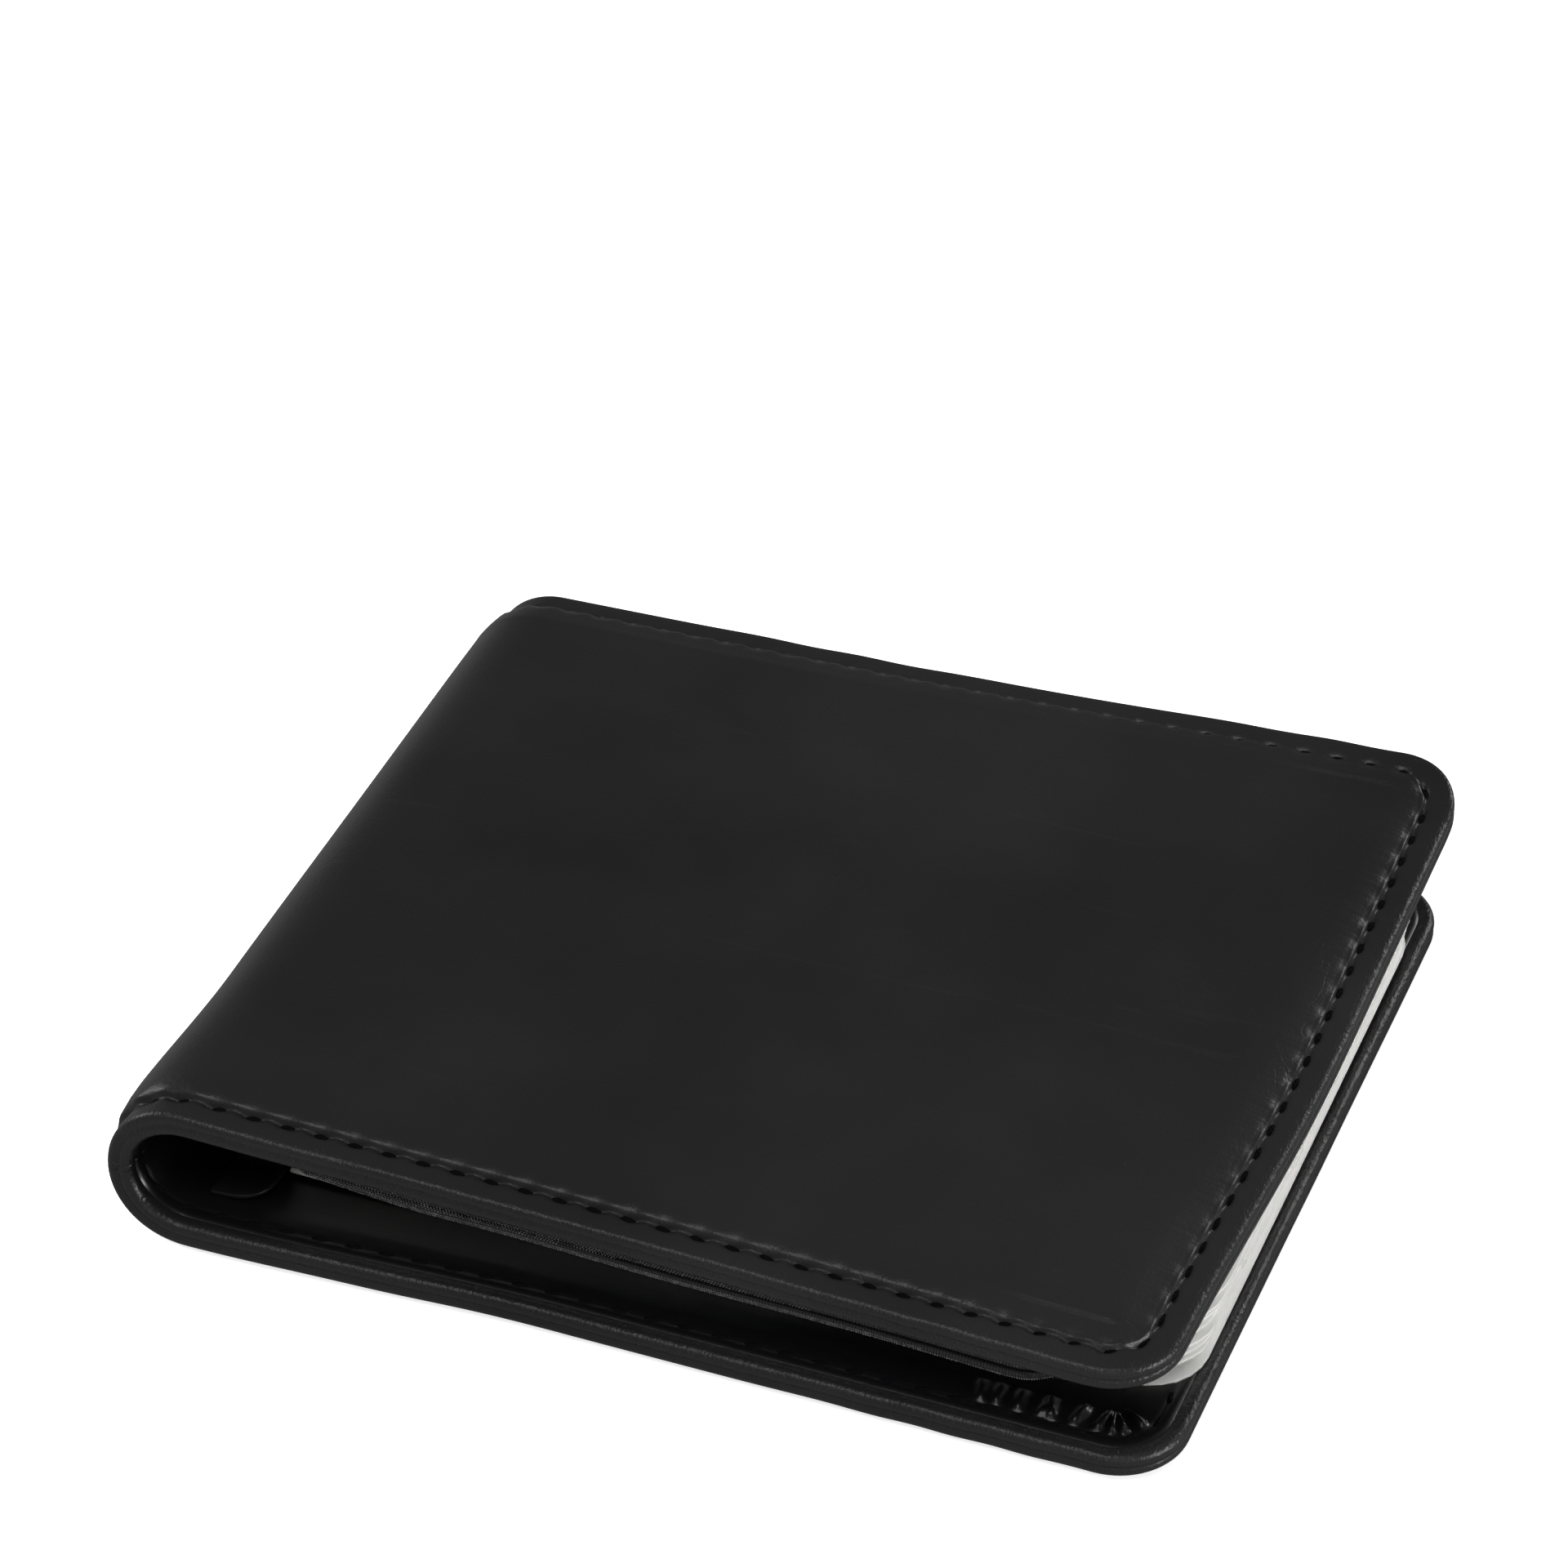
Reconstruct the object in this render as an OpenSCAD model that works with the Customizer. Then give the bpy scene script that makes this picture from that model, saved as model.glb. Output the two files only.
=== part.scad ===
// Bifold wallet, closed, lying on its back cover.
// +X runs from the fold to the opening edge, +Y from the top edge to the bottom edge, +Z up.
// The origin is the middle of the footprint, on the surface that the wallet lies on.

/* [Wallet] */
// Length from the fold to the opening edge, closed
wallet_w = 110; // [100:1:132]
// Height along the fold
wallet_h = 95; // [79:1:115]
// Thickness closed
wallet_t = 18; // [15:0.5:24]
// Radius of the outer corners at the opening edge
corner_r = 9; // [7.5:0.5:14]
// How far the front cover reaches past the back cover at the opening edge
cover_overhang = 1.2; // [0:0.1:3]

/* [Cover layers] */
// Thickness of the outer leather
leather_t = 1.0; // [0.8:0.1:1.2]
// Thickness of the foam under the leather, which is also how far the padded panel stands up
foam_t = 1.0; // [0.8:0.1:1.3]
// Thickness of the stiffening board
board_t = 0.8; // [0.6:0.1:1]
// Thickness of the glossy inner lining
lining_t = 0.8; // [0.6:0.1:1]
// Distance from the rim to the foot of the padded panel
pad_margin = 3.4; // [3:0.1:4.5]
// Width of the rounded shoulder of the padded panel
shoulder_w = 3.0; // [1.5:0.1:3.5]
// Distance from the foot of the padded panel in to the edge of the foam
foam_inset = 1.2; // [0.8:0.1:1.5]
// Width of the turned edge, from the rim to the edge of the lining
hem_w = 1.8; // [1.6:0.1:2.5]

/* [Fold] */
// Angle of the fold that each cover carries, before its crease line
cover_arc = 45; // [30:1:60]
// Half of the angle left open at each crease
crease_gap = 0.5; // [0.2:0.1:1]

/* [Stitching] */
// Distance from the rim to the seam
stitch_inset = 3.0; // [2.5:0.1:3.2]
// Distance from one stitch to the next
stitch_pitch = 3.55; // [3:0.05:4.5]
// Length of one stitch
stitch_len = 2.4; // [1.8:0.1:2.8]
// Thickness of the thread
thread_d = 0.6; // [0.4:0.05:0.8]

/* [Bill compartment] */
// Thickness of the lining fabric
fabric_t = 0.35; // [0.25:0.05:0.5]
// Thickness of the space that the notes slide into
bill_gap = 0.3; // [0.2:0.05:0.4]
// Thickness of the space between the two fabric layers
fabric_gap = 0.15; // [0.1:0.05:0.25]
// Width of the seam that closes the fabric on three sides
fabric_seam = 4; // [3:0.5:6]
// Distance from the rim to the edge of the fabric
fabric_inset = 2.0; // [1.8:0.1:3]

/* [Card pockets] */
// Thickness of the pocket leather
pocket_t = 0.5; // [0.4:0.05:0.6]
// Distance from the mouth of one pocket to the next
pocket_step = 12; // [9:1:14]
// Distance from the rim to the edge of the pocket panels
pocket_inset = 3.0; // [2.5:0.1:5]
// Distance from the top edge of the wallet to the top of the pocket base
pocket_top = 7; // [6:0.5:10]
// Depth of the recess that a card slides into
card_recess = 0.2; // [0.1:0.05:0.25]
// Width of a payment card
card_w = 85.6; // [85.6:0.1:86]
// Height of a payment card
card_h = 54; // [53.9:0.1:54]
// Room left beside a card
card_room = 0.7; // [0.5:0.1:1.5]

/* [Clear sleeves] */
// Thickness of one empty sleeve
sleeve_t = 0.4; // [0.3:0.05:0.42]
// Thickness of the clear film
film_t = 0.12; // [0.08:0.01:0.13]
// Distance from the top edge of the wallet to the sleeves, and the same at the bottom
sleeve_inset = 9.2; // [7:0.1:11]
// Distance from the rim of the back cover to the sleeves
sleeve_edge = 1.0; // [0.6:0.1:4]
// Radius of the outer corners of a sleeve
sleeve_corner_r = 4; // [2:0.5:8]
// Width of the welded margin of a sleeve
weld_w = 2.4; // [1.5:0.1:3]
// Radius of the thumb notch in the mouth of a sleeve
thumb_r = 8; // [5:0.5:12]
// Clear height above and below the stack of sleeves
page_room = 0.6; // [0.3:0.1:0.8]
// Thickness of the leather strip that the sleeves are sewn to
strip_t = 0.8; // [0.6:0.1:1]
// Width of that strip
strip_w = 5.1; // [4:0.1:6]
// Room between the strip and the line that the sleeves turn on
turn_room = 0.25; // [0.2:0.05:0.4]
// Room between two sleeves as one turns over the other
page_gap = 0.05; // [0.03:0.01:0.1]
// Angle that the lowest sleeve lies at when the wallet is open
first_turn = 9; // [5:1:20]
// Angle that the highest sleeve lies at when the wallet is open
last_turn = 162; // [120:1:165]

/* [Hidden] */
$fn = 64;

black_leather = [0.10, 0.10, 0.11];
gloss_leather = [0.05, 0.05, 0.055];
black_fabric = [0.14, 0.14, 0.15];
black_thread = [0.03, 0.03, 0.03];
grey_foam = [0.35, 0.35, 0.36];
grey_board = [0.55, 0.52, 0.47];
clear_film = [0.82, 0.82, 0.80, 0.6];

// The fold is half a turn about this axis, with its outer face tangent to both covers
fold_r = wallet_t / 2;
fold_x = fold_r - wallet_w / 2;
front_end = wallet_w / 2;
back_end = front_end - cover_overhang;
side_y = wallet_h / 2 - corner_r;

// Heights of the layers above the outer face of a cover
board_h = leather_t + foam_t;
lining_h = board_h + board_t;
cover_t = lining_h + lining_t;

// The edge profile: u runs outwards from the centre of a corner, h inwards from the outer face
pad_u = corner_r - pad_margin;
shoulder_r = (shoulder_w * shoulder_w + foam_t * foam_t) / (2 * foam_t);
rim_r = (cover_t - foam_t) / 2;
hem_u = corner_r - hem_w;
foam_u = pad_u - foam_inset;
spine_arc = 180 - 2 * cover_arc;

// The stack inside the front cover, as heights above its outer face
divider_h = cover_t + bill_gap;
fabric_h = divider_h + fabric_t + fabric_gap;
base_h = fabric_h + fabric_t;
pocket_count = 3;
front_depth = base_h + (pocket_count + 1) * pocket_t;
panel_x = fold_x + 2;

// The stack of sleeves between the back lining and the card pockets
sleeve_count = 8;
sleeve_room = wallet_t - cover_t - front_depth - 2 * page_room;
sleeve_pitch = sleeve_room / sleeve_count;
strip_x = fold_x + 0.1;

// Each sleeve turns about its own line. The lines step back towards the fold by as much as lets a
// sleeve lie over on the one below without crossing it.
function page_h(number) = cover_t + page_room + (number - 1) * sleeve_pitch + sleeve_t / 2;
function page_turn(number) = first_turn + (last_turn - first_turn) * (number - 1) / (sleeve_count - 1);
function step_back(number) =
    max(0, (sleeve_t + page_gap - sleeve_pitch * cos(page_turn(number))) / sin(page_turn(number)));
function turn_x(number) =
    number == 1 ? strip_x + strip_w + turn_room : turn_x(number - 1) - step_back(number - 1);

// A mesh margin, so that a cut runs clear through a face
through = 1;

module both_sides() {
    for (side = [0, 1]) mirror([0, side, 0]) children();
}

// The whole width of a layer: the child edge profile at both sides, and a band between them
module section(from_h, to_h) {
    translate([-side_y, from_h]) square([2 * side_y, to_h - from_h]);
    for (side = [0, 1]) mirror([side, 0]) translate([side_y, 0]) children();
}

// A layer carried round the fold, from one angle on by another, counted up from the bottom
module fold_layer(from_deg, turn_deg, from_h, to_h) {
    translate([fold_x, 0, fold_r])
    rotate([-90, 0, 0])
    rotate([0, 0, 90 + from_deg])
    rotate_extrude(angle = turn_deg)
    translate([fold_r, 0])
    rotate([0, 0, 90])
    section(from_h, to_h) children();
}

// A layer of a flat cover: a straight run from the fold, two rounded corners and the opening edge
module flat_layer(end_x, from_h, to_h) {
    corner_x = end_x - corner_r;
    translate([fold_x, 0, 0])
    rotate([90, 0, 90])
    linear_extrude(corner_x - fold_x)
    section(from_h, to_h) children();
    translate([corner_x, side_y, 0])
    rotate([90, 0, 0])
    linear_extrude(2 * side_y)
    children();
    both_sides() translate([corner_x, side_y, 0]) rotate_extrude(angle = 90) children();
}

// Turns what is built on the back cover over, for the front cover
module turned_over() {
    translate([0, 0, wallet_t]) mirror([0, 0, 1]) children();
}

module band(end_u, from_h, to_h) {
    translate([0, from_h]) square([end_u, to_h - from_h]);
}

// Padded panel, stitch border and turned rim of the outer leather, in section
module leather_edge() {
    band(pad_u - shoulder_w, 0, leather_t);
    intersection() {
        translate([pad_u - shoulder_w, shoulder_r]) circle(shoulder_r);
        translate([pad_u - shoulder_w, 0]) square([shoulder_w, foam_t]);
    }
    translate([foam_u, foam_t]) square([corner_r - rim_r - foam_u, leather_t]);
    translate([hem_u, foam_t]) square([hem_w - rim_r, cover_t - foam_t]);
    intersection() {
        translate([corner_r - rim_r, foam_t + rim_r]) circle(rim_r);
        translate([corner_r - rim_r, foam_t]) square([rim_r, cover_t - foam_t]);
    }
}

module cover_leather(end_x) {
    flat_layer(end_x, 0, leather_t) leather_edge();
    fold_layer(0, cover_arc - crease_gap, 0, leather_t) leather_edge();
}

module cover_foam(end_x) {
    flat_layer(end_x, leather_t, board_h) band(foam_u, leather_t, board_h);
    fold_layer(0, cover_arc - crease_gap, leather_t, lining_h) band(foam_u, leather_t, lining_h);
}

module cover_board(end_x) {
    flat_layer(end_x, board_h, lining_h) band(hem_u, board_h, lining_h);
}

module cover_lining(end_x) {
    flat_layer(end_x, lining_h, cover_t) band(hem_u, lining_h, cover_t);
    fold_layer(0, cover_arc - crease_gap, lining_h, cover_t) band(hem_u, lining_h, cover_t);
}

// Where a stitch lies along the seam: [x, y, heading], at a distance from its start at the fold
seam_r = corner_r - stitch_inset;
seam_arc = PI * seam_r / 2;
seam_side = 2 * side_y;
function seam_run(end_x) = end_x - corner_r - fold_x;
function seam_length(end_x) = 2 * seam_run(end_x) + 2 * seam_arc + seam_side;
function seam_point(end_x, far) =
    let (run = seam_run(end_x), corner_x = end_x - corner_r)
    far < run ? [fold_x + far, -side_y - seam_r, 0]
    : far < run + seam_arc ?
        let (turn = (far - run) / seam_arc * 90)
        [corner_x + seam_r * sin(turn), -side_y - seam_r * cos(turn), turn]
    : [corner_x + seam_r, far - run - seam_arc - side_y, 90];

module stitch(len) {
    rotate([0, 90, 0]) cylinder(h = len, d = thread_d, center = true);
}

// The seam of a flat cover at one height, made as one half and its mirror image
module flat_seam(end_x, h) {
    half = seam_length(end_x) / 2;
    count = round(half / stitch_pitch);
    step = half / count;
    both_sides() for (i = [0 : count - 1]) {
        place = seam_point(end_x, (i + 0.5) * step);
        translate([place[0], place[1], h]) rotate([0, 0, place[2]]) stitch(stitch_len);
    }
}

// The seam round a part of the fold at one height, with its stitches evenly spread
module fold_seam(from_deg, turn_deg, h) {
    radius = fold_r - h;
    count = round(turn_deg / 180 * PI * (fold_r - foam_t) / stitch_pitch);
    step = turn_deg / count;
    chord = min(stitch_len, radius * step / 180 * PI * 0.75);
    both_sides() for (i = [0 : count - 1])
        translate([fold_x, side_y + seam_r, fold_r])
        rotate([0, from_deg + (i + 0.5) * step, 0])
        translate([0, 0, -radius])
        stitch(chord);
}

module cover_seam(end_x) {
    for (h = [foam_t, cover_t]) {
        flat_seam(end_x, h);
        fold_seam(0, cover_arc, h);
    }
}

// A flat panel with two rounded corners at the opening edge
module panel(from_x, to_x, from_y, to_y, radius, thick) {
    linear_extrude(thick) {
        translate([from_x, from_y]) square([to_x - radius - from_x, to_y - from_y]);
        translate([to_x - radius, from_y + radius]) square([radius, to_y - from_y - 2 * radius]);
        for (y = [from_y + radius, to_y - radius]) translate([to_x - radius, y]) circle(radius);
    }
}

// Fabric sewn down on three sides and open at the top edge of the wallet
module fabric_layer(from_h, gap) {
    near_y = fabric_inset - wallet_h / 2;
    end_x = front_end - fabric_inset;
    difference() {
        translate([0, 0, from_h])
        panel(panel_x, end_x, near_y, -near_y, corner_r - fabric_inset, gap + fabric_t);
        translate([panel_x + fabric_seam, near_y - through, from_h - through])
        cube([end_x - panel_x - 2 * fabric_seam, -2 * near_y - fabric_seam + through, gap + through]);
    }
}

// A leather pocket panel, its mouth a number of steps down, with a recess for the card behind it
module pocket_panel(level) {
    far_y = wallet_h / 2 - pocket_inset;
    end_x = front_end - pocket_inset;
    mouth_y = pocket_top - wallet_h / 2 + level * pocket_step;
    slot_w = card_w + 2 * card_room;
    slot_x = (panel_x + end_x - slot_w) / 2;
    slot_end = min(mouth_y + card_h, far_y - weld_w);
    difference() {
        translate([0, 0, base_h + level * pocket_t])
        panel(panel_x, end_x, mouth_y, far_y, corner_r - pocket_inset, pocket_t);
        if (level > 0)
            translate([slot_x, mouth_y - through, base_h + level * pocket_t - through])
            cube([slot_w, slot_end - mouth_y + through, card_recess + through]);
    }
}

// One clear sleeve: two films welded on three sides, with a thumb notch in the upper film
module clear_sleeve(number) {
    low_h = page_h(number) - sleeve_t / 2;
    from_x = turn_x(number) + turn_room;
    to_x = back_end - sleeve_edge;
    far_y = wallet_h / 2 - sleeve_inset;
    color(clear_film)
    difference() {
        translate([0, 0, low_h]) panel(from_x, to_x, -far_y, far_y, sleeve_corner_r, sleeve_t);
        translate([from_x + weld_w, -far_y - through, low_h + film_t])
        cube([to_x - from_x - 2 * weld_w, 2 * far_y - weld_w + through, sleeve_t - 2 * film_t]);
        translate([(from_x + to_x) / 2, -far_y, low_h + sleeve_t / 2]) cylinder(h = sleeve_t, r = thumb_r);
    }
}

module back_outer_leather() {
    color(black_leather) cover_leather(back_end);
}

module back_foam_pad() {
    color(grey_foam) cover_foam(back_end);
}

module back_board() {
    color(grey_board) cover_board(back_end);
}

module back_lining() {
    color(gloss_leather) cover_lining(back_end);
}

module back_stitching() {
    color(black_thread) cover_seam(back_end);
}

// The strip is sewn to the back lining beside the fold, and the sleeves are welded together on it
module sleeve_strip() {
    half = wallet_h / 2 - hem_w - pad_margin;
    color(gloss_leather) translate([strip_x, -half, cover_t]) cube([strip_w, 2 * half, strip_t]);
}

// The welded edges of the sleeves, stepped back under the lines that the sleeves turn on
module sleeve_spine() {
    half = wallet_h / 2 - sleeve_inset;
    low = cover_t + strip_t;
    top = page_h(7) - sleeve_t / 2 - page_gap;
    color(clear_film)
    translate([0, half, 0])
    rotate([90, 0, 0])
    linear_extrude(2 * half)
    polygon([
        [strip_x, low], [strip_x + strip_w, low], [turn_x(4) - turn_room, page_h(4)],
        [turn_x(6) - 2 * turn_room, page_h(6)], [turn_x(7) - 2 * turn_room, top], [strip_x, top]
    ]);
}

module spine_outer_leather() {
    color(black_leather)
    fold_layer(cover_arc + crease_gap, spine_arc - 2 * crease_gap, 0, leather_t) leather_edge();
}

module spine_foam_pad() {
    color(grey_foam)
    fold_layer(cover_arc + crease_gap, spine_arc - 2 * crease_gap, leather_t, lining_h)
    band(foam_u, leather_t, lining_h);
}

module spine_lining() {
    color(gloss_leather)
    fold_layer(cover_arc + crease_gap, spine_arc - 2 * crease_gap, lining_h, cover_t)
    band(hem_u, lining_h, cover_t);
}

module spine_stitching() {
    color(black_thread) for (h = [foam_t, cover_t]) fold_seam(cover_arc, spine_arc, h);
}

module front_outer_leather() {
    color(black_leather) turned_over() cover_leather(front_end);
}

module front_foam_pad() {
    color(grey_foam) turned_over() cover_foam(front_end);
}

module front_board() {
    color(grey_board) turned_over() cover_board(front_end);
}

module front_lining() {
    color(gloss_leather) turned_over() cover_lining(front_end);
}

module front_stitching() {
    color(black_thread) turned_over() cover_seam(front_end);
}

module bill_divider() {
    color(black_fabric) turned_over() fabric_layer(cover_t, bill_gap);
}

module bill_lining() {
    color(black_fabric) turned_over() fabric_layer(divider_h + fabric_t, fabric_gap);
}

module pocket_base() {
    color(gloss_leather) turned_over() pocket_panel(0);
}

module card_pocket(level) {
    color(black_leather) turned_over() pocket_panel(level);
}

back_outer_leather();
back_foam_pad();
back_board();
back_lining();
back_stitching();
sleeve_strip();
sleeve_spine();
spine_outer_leather();
spine_foam_pad();
spine_lining();
spine_stitching();
front_outer_leather();
front_foam_pad();
front_board();
front_lining();
front_stitching();
bill_divider();
bill_lining();
pocket_base();
card_pocket(1);  // card_pocket_1
card_pocket(2);  // card_pocket_2
card_pocket(3);  // card_pocket_3
clear_sleeve(1);  // clear_sleeve_1
clear_sleeve(2);  // clear_sleeve_2
clear_sleeve(3);  // clear_sleeve_3
clear_sleeve(4);  // clear_sleeve_4
clear_sleeve(5);  // clear_sleeve_5
clear_sleeve(6);  // clear_sleeve_6
clear_sleeve(7);  // clear_sleeve_7
clear_sleeve(8);  // clear_sleeve_8
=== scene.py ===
# %% [markdown]
# # A closed bifold wallet
# The wallet is two padded leather covers on a rounded fold. It lies on its back cover. Card pockets and a
# cloth bill compartment hang under the front cover, and eight clear sleeves lie on the back one.
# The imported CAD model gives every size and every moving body, and this script dresses it.
# Everything is in metres: +X from the fold to the opening edge, +Y to the far edge, +Z up.

# %% Load the frame
import math

import bpy
import numpy as np
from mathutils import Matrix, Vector


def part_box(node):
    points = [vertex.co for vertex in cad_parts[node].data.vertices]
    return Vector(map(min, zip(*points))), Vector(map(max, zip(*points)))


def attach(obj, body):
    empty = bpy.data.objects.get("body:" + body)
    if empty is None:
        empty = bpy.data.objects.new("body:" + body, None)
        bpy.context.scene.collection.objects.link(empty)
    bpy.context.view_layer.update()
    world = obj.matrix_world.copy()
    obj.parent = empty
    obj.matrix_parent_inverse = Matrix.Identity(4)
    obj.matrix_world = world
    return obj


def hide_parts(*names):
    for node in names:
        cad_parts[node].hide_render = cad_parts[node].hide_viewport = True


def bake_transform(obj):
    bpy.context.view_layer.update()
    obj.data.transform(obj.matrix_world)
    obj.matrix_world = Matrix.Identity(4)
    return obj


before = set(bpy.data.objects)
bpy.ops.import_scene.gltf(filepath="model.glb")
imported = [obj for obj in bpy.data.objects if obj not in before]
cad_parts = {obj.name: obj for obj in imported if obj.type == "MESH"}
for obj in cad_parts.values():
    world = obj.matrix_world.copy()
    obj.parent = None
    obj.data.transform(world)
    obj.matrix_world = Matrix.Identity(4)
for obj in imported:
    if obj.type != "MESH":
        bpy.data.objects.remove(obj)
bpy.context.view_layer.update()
scene = bpy.context.scene
MM = 0.001

# %% [markdown]
# ## Sizes
# Each size comes from a CAD node's box, so the looks follow the frame. The layers are counted as heights
# above the outer face of a cover: the leather's outer face is 0 and the inner lining ends at cover_t.

# %% Read the sizes from the frame
back_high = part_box("back_outer_leather")[1]
front_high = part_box("front_outer_leather")[1]
board_low, board_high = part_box("front_board")
spine_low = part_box("spine_outer_leather")[0]
wallet_t = front_high[2]
fold_r = wallet_t / 2
fold_x = spine_low[0] + fold_r
half_h = front_high[1]
front_end, back_end = front_high[0], back_high[0]
cover_t = wallet_t - board_low[2] + (board_high[2] - board_low[2])
pad_rise = 1.0 * MM
corner_r = 7.4 * MM
seam_inset = 3.0 * MM
stitch_pitch = 3.55 * MM
fold_arc = fold_r * math.pi / 2
crease_s = fold_arc / 2
print(f"cover {front_end - spine_low[0]:.4f} x {2 * half_h:.4f} m, {cover_t * 1000:.2f} mm thick")

# %% [markdown]
# ## Camera
# A long lens looks down from the near edge, a little to the opening side. The leather is black, so what
# it mirrors makes the picture: broad soft lights behind and beside it, and a weak one in front.

# %% Camera
aim = Vector((-0.0156, 0.0334, 0.0083))
azimuth, elevation, distance = math.radians(21.03), math.radians(37.32), 0.678
away = Vector((math.sin(azimuth) * math.cos(elevation),
               -math.cos(azimuth) * math.cos(elevation), math.sin(elevation)))
camera_data = bpy.data.cameras.new("camera")
camera_data.lens, camera_data.sensor_width = 147.6, 36.0
camera_data.clip_start, camera_data.clip_end = 0.01, 20.0
camera = bpy.data.objects.new("camera", camera_data)
camera.location = aim + away * distance
camera.rotation_euler = away.to_track_quat("Z", "Y").to_euler()
scene.collection.objects.link(camera)
scene.camera = camera
print("camera at", [round(value, 4) for value in camera.location])


# %% Lights and floor
def area_light(name, place, aimed_at, size, watts):
    data = bpy.data.lights.new(name, "AREA")
    data.shape, data.size, data.size_y = "RECTANGLE", size[0], size[1]
    data.energy = watts
    lamp = bpy.data.objects.new(name, data)
    lamp.location = place
    lamp.rotation_euler = (Vector(place) - Vector(aimed_at)).to_track_quat("Z", "Y").to_euler()
    scene.collection.objects.link(lamp)


area_light("back_right", (0.62, 1.05, 0.50), (0.0, 0.0, 0.01), (0.55, 0.40), 3.4)
area_light("right", (1.0, -0.15, 0.22), (0.0, 0.0, 0.01), (0.5, 0.3), 5.0)
area_light("front", (0.35, -1.1, 0.45), (0.0, 0.0, 0.0), (0.4, 0.25), 0.7)
area_light("left", (-1.0, 0.15, 0.42), (-0.05, 0.0, 0.01), (0.5, 0.4), 2.2)
# Most of the key light is matt, so that the rims don't glare
key_from, key_spread = Vector((-0.15, -0.50, 1.0)), math.radians(26)
for name, energy, glossy in (("key_soft", 2.5, False), ("key_gloss", 0.5, True)):
    key_data = bpy.data.lights.new(name, "SUN")
    key_data.energy, key_data.angle = energy, key_spread
    key = bpy.data.objects.new(name, key_data)
    key.rotation_euler = key_from.to_track_quat("Z", "Y").to_euler()
    key.visible_glossy = glossy
    scene.collection.objects.link(key)

# The sky is white where it is seen, and dim where it lights and is mirrored
world = bpy.data.worlds.new("studio")
world.use_nodes = True
nodes, links = world.node_tree.nodes, world.node_tree.links
dim = nodes["Background"]
white = nodes.new("ShaderNodeBackground")
choose = nodes.new("ShaderNodeMixShader")
dim.inputs["Color"].default_value = (1.0, 1.0, 1.0, 1.0)
dim.inputs["Strength"].default_value = 0.13
white.inputs["Color"].default_value = (1.0, 1.0, 1.0, 1.0)
links.new(nodes.new("ShaderNodeLightPath").outputs["Is Camera Ray"], choose.inputs[0])
links.new(dim.outputs[0], choose.inputs[1])
links.new(white.outputs[0], choose.inputs[2])
links.new(choose.outputs[0], nodes["World Output"].inputs["Surface"])
scene.world = world
scene.view_settings.view_transform = "Standard"
floor_mesh = bpy.data.meshes.new("floor")
reach = 8.0
floor_mesh.from_pydata([(-reach, -reach, 0), (reach, -reach, 0), (reach, reach, 0), (-reach, reach, 0)],
                       [], [(0, 1, 2, 3)])
floor = bpy.data.objects.new("floor", floor_mesh)
scene.collection.objects.link(floor)
floor_paint = bpy.data.materials.new("pale_floor")
floor_paint.use_nodes = True
floor_shader = floor_paint.node_tree.nodes["Principled BSDF"]
floor_shader.inputs["Roughness"].default_value = 0.9
# The floor is pale where it is seen, and greyer where the leather mirrors it
floor_links = floor_paint.node_tree.links
floor_tone = floor_paint.node_tree.nodes.new("ShaderNodeMix")
floor_tone.data_type = "RGBA"
floor_tone.inputs[6].default_value = (0.93, 0.93, 0.93, 1.0)
floor_tone.inputs[7].default_value = (0.22, 0.22, 0.22, 1.0)
floor_rays = floor_paint.node_tree.nodes.new("ShaderNodeLightPath")
floor_links.new(floor_rays.outputs["Is Glossy Ray"], floor_tone.inputs[0])
floor_links.new(floor_tone.outputs[2], floor_shader.inputs["Base Color"])
# A lit glow hides most of the shadow from the camera, as on a light table
floor_glow = floor_paint.node_tree.nodes.new("ShaderNodeMath")
floor_glow.operation = "MULTIPLY"
floor_glow.inputs[1].default_value = 0.75
floor_links.new(floor_rays.outputs["Is Camera Ray"], floor_glow.inputs[0])
floor_links.new(floor_glow.outputs[0], floor_shader.inputs["Emission Strength"])
floor_shader.inputs["Emission Color"].default_value = (1.0, 1.0, 1.0, 1.0)
floor_mesh.materials.append(floor_paint)
print("stage ready")

# %% [markdown]
# ## Node groups for the finishes
# Smooth dyed leather has four things that the eye reads: a fine pebble grain, faint creases where it has
# been bent, a few scratches, and a slow change of tone. The outer hide, the lining and the pockets share
# them in different strengths, so they are one node group. It puts out only a height, a tone and a shine.

# %% Helpers for building node trees
def new_group(name, inputs, outputs):
    group = bpy.data.node_groups.new(name, "ShaderNodeTree")
    for label, value in inputs:
        socket = group.interface.new_socket(label, in_out="INPUT", socket_type="NodeSocketFloat")
        socket.default_value = value
    for label in outputs:
        group.interface.new_socket(label, in_out="OUTPUT", socket_type="NodeSocketFloat")
    return group


def add(tree, kind, settings=None, **sockets):
    """A node with its settings, its named sockets set to a value or linked from another socket."""
    node = tree.nodes.new(kind)
    for key, value in (settings or {}).items():
        setattr(node, key, value)
    for key, value in sockets.items():
        socket = node.inputs[int(key[1:])] if key[0] == "i" and key[1:].isdigit() else node.inputs[key]
        if isinstance(value, bpy.types.NodeSocket):
            tree.links.new(value, socket)
        else:
            socket.default_value = value
    return node


def math_node(tree, operation, first, second=0.0):
    return add(tree, "ShaderNodeMath", {"operation": operation}, i0=first, i1=second).outputs[0]


def smooth_step(tree, value, low, high):
    node = add(tree, "ShaderNodeMapRange", {"interpolation_type": "SMOOTHSTEP"}, Value=value)
    node.inputs["From Min"].default_value, node.inputs["From Max"].default_value = low, high
    return node.outputs["Result"]


def blend_colours(tree, factor, dark, light):
    """Goes from dark to light as the factor goes from 0 to 1."""
    node = add(tree, "ShaderNodeMix", {"data_type": "RGBA"}, i0=factor, i6=(*dark, 1.0), i7=(*light, 1.0))
    return node.outputs[2]


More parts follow.
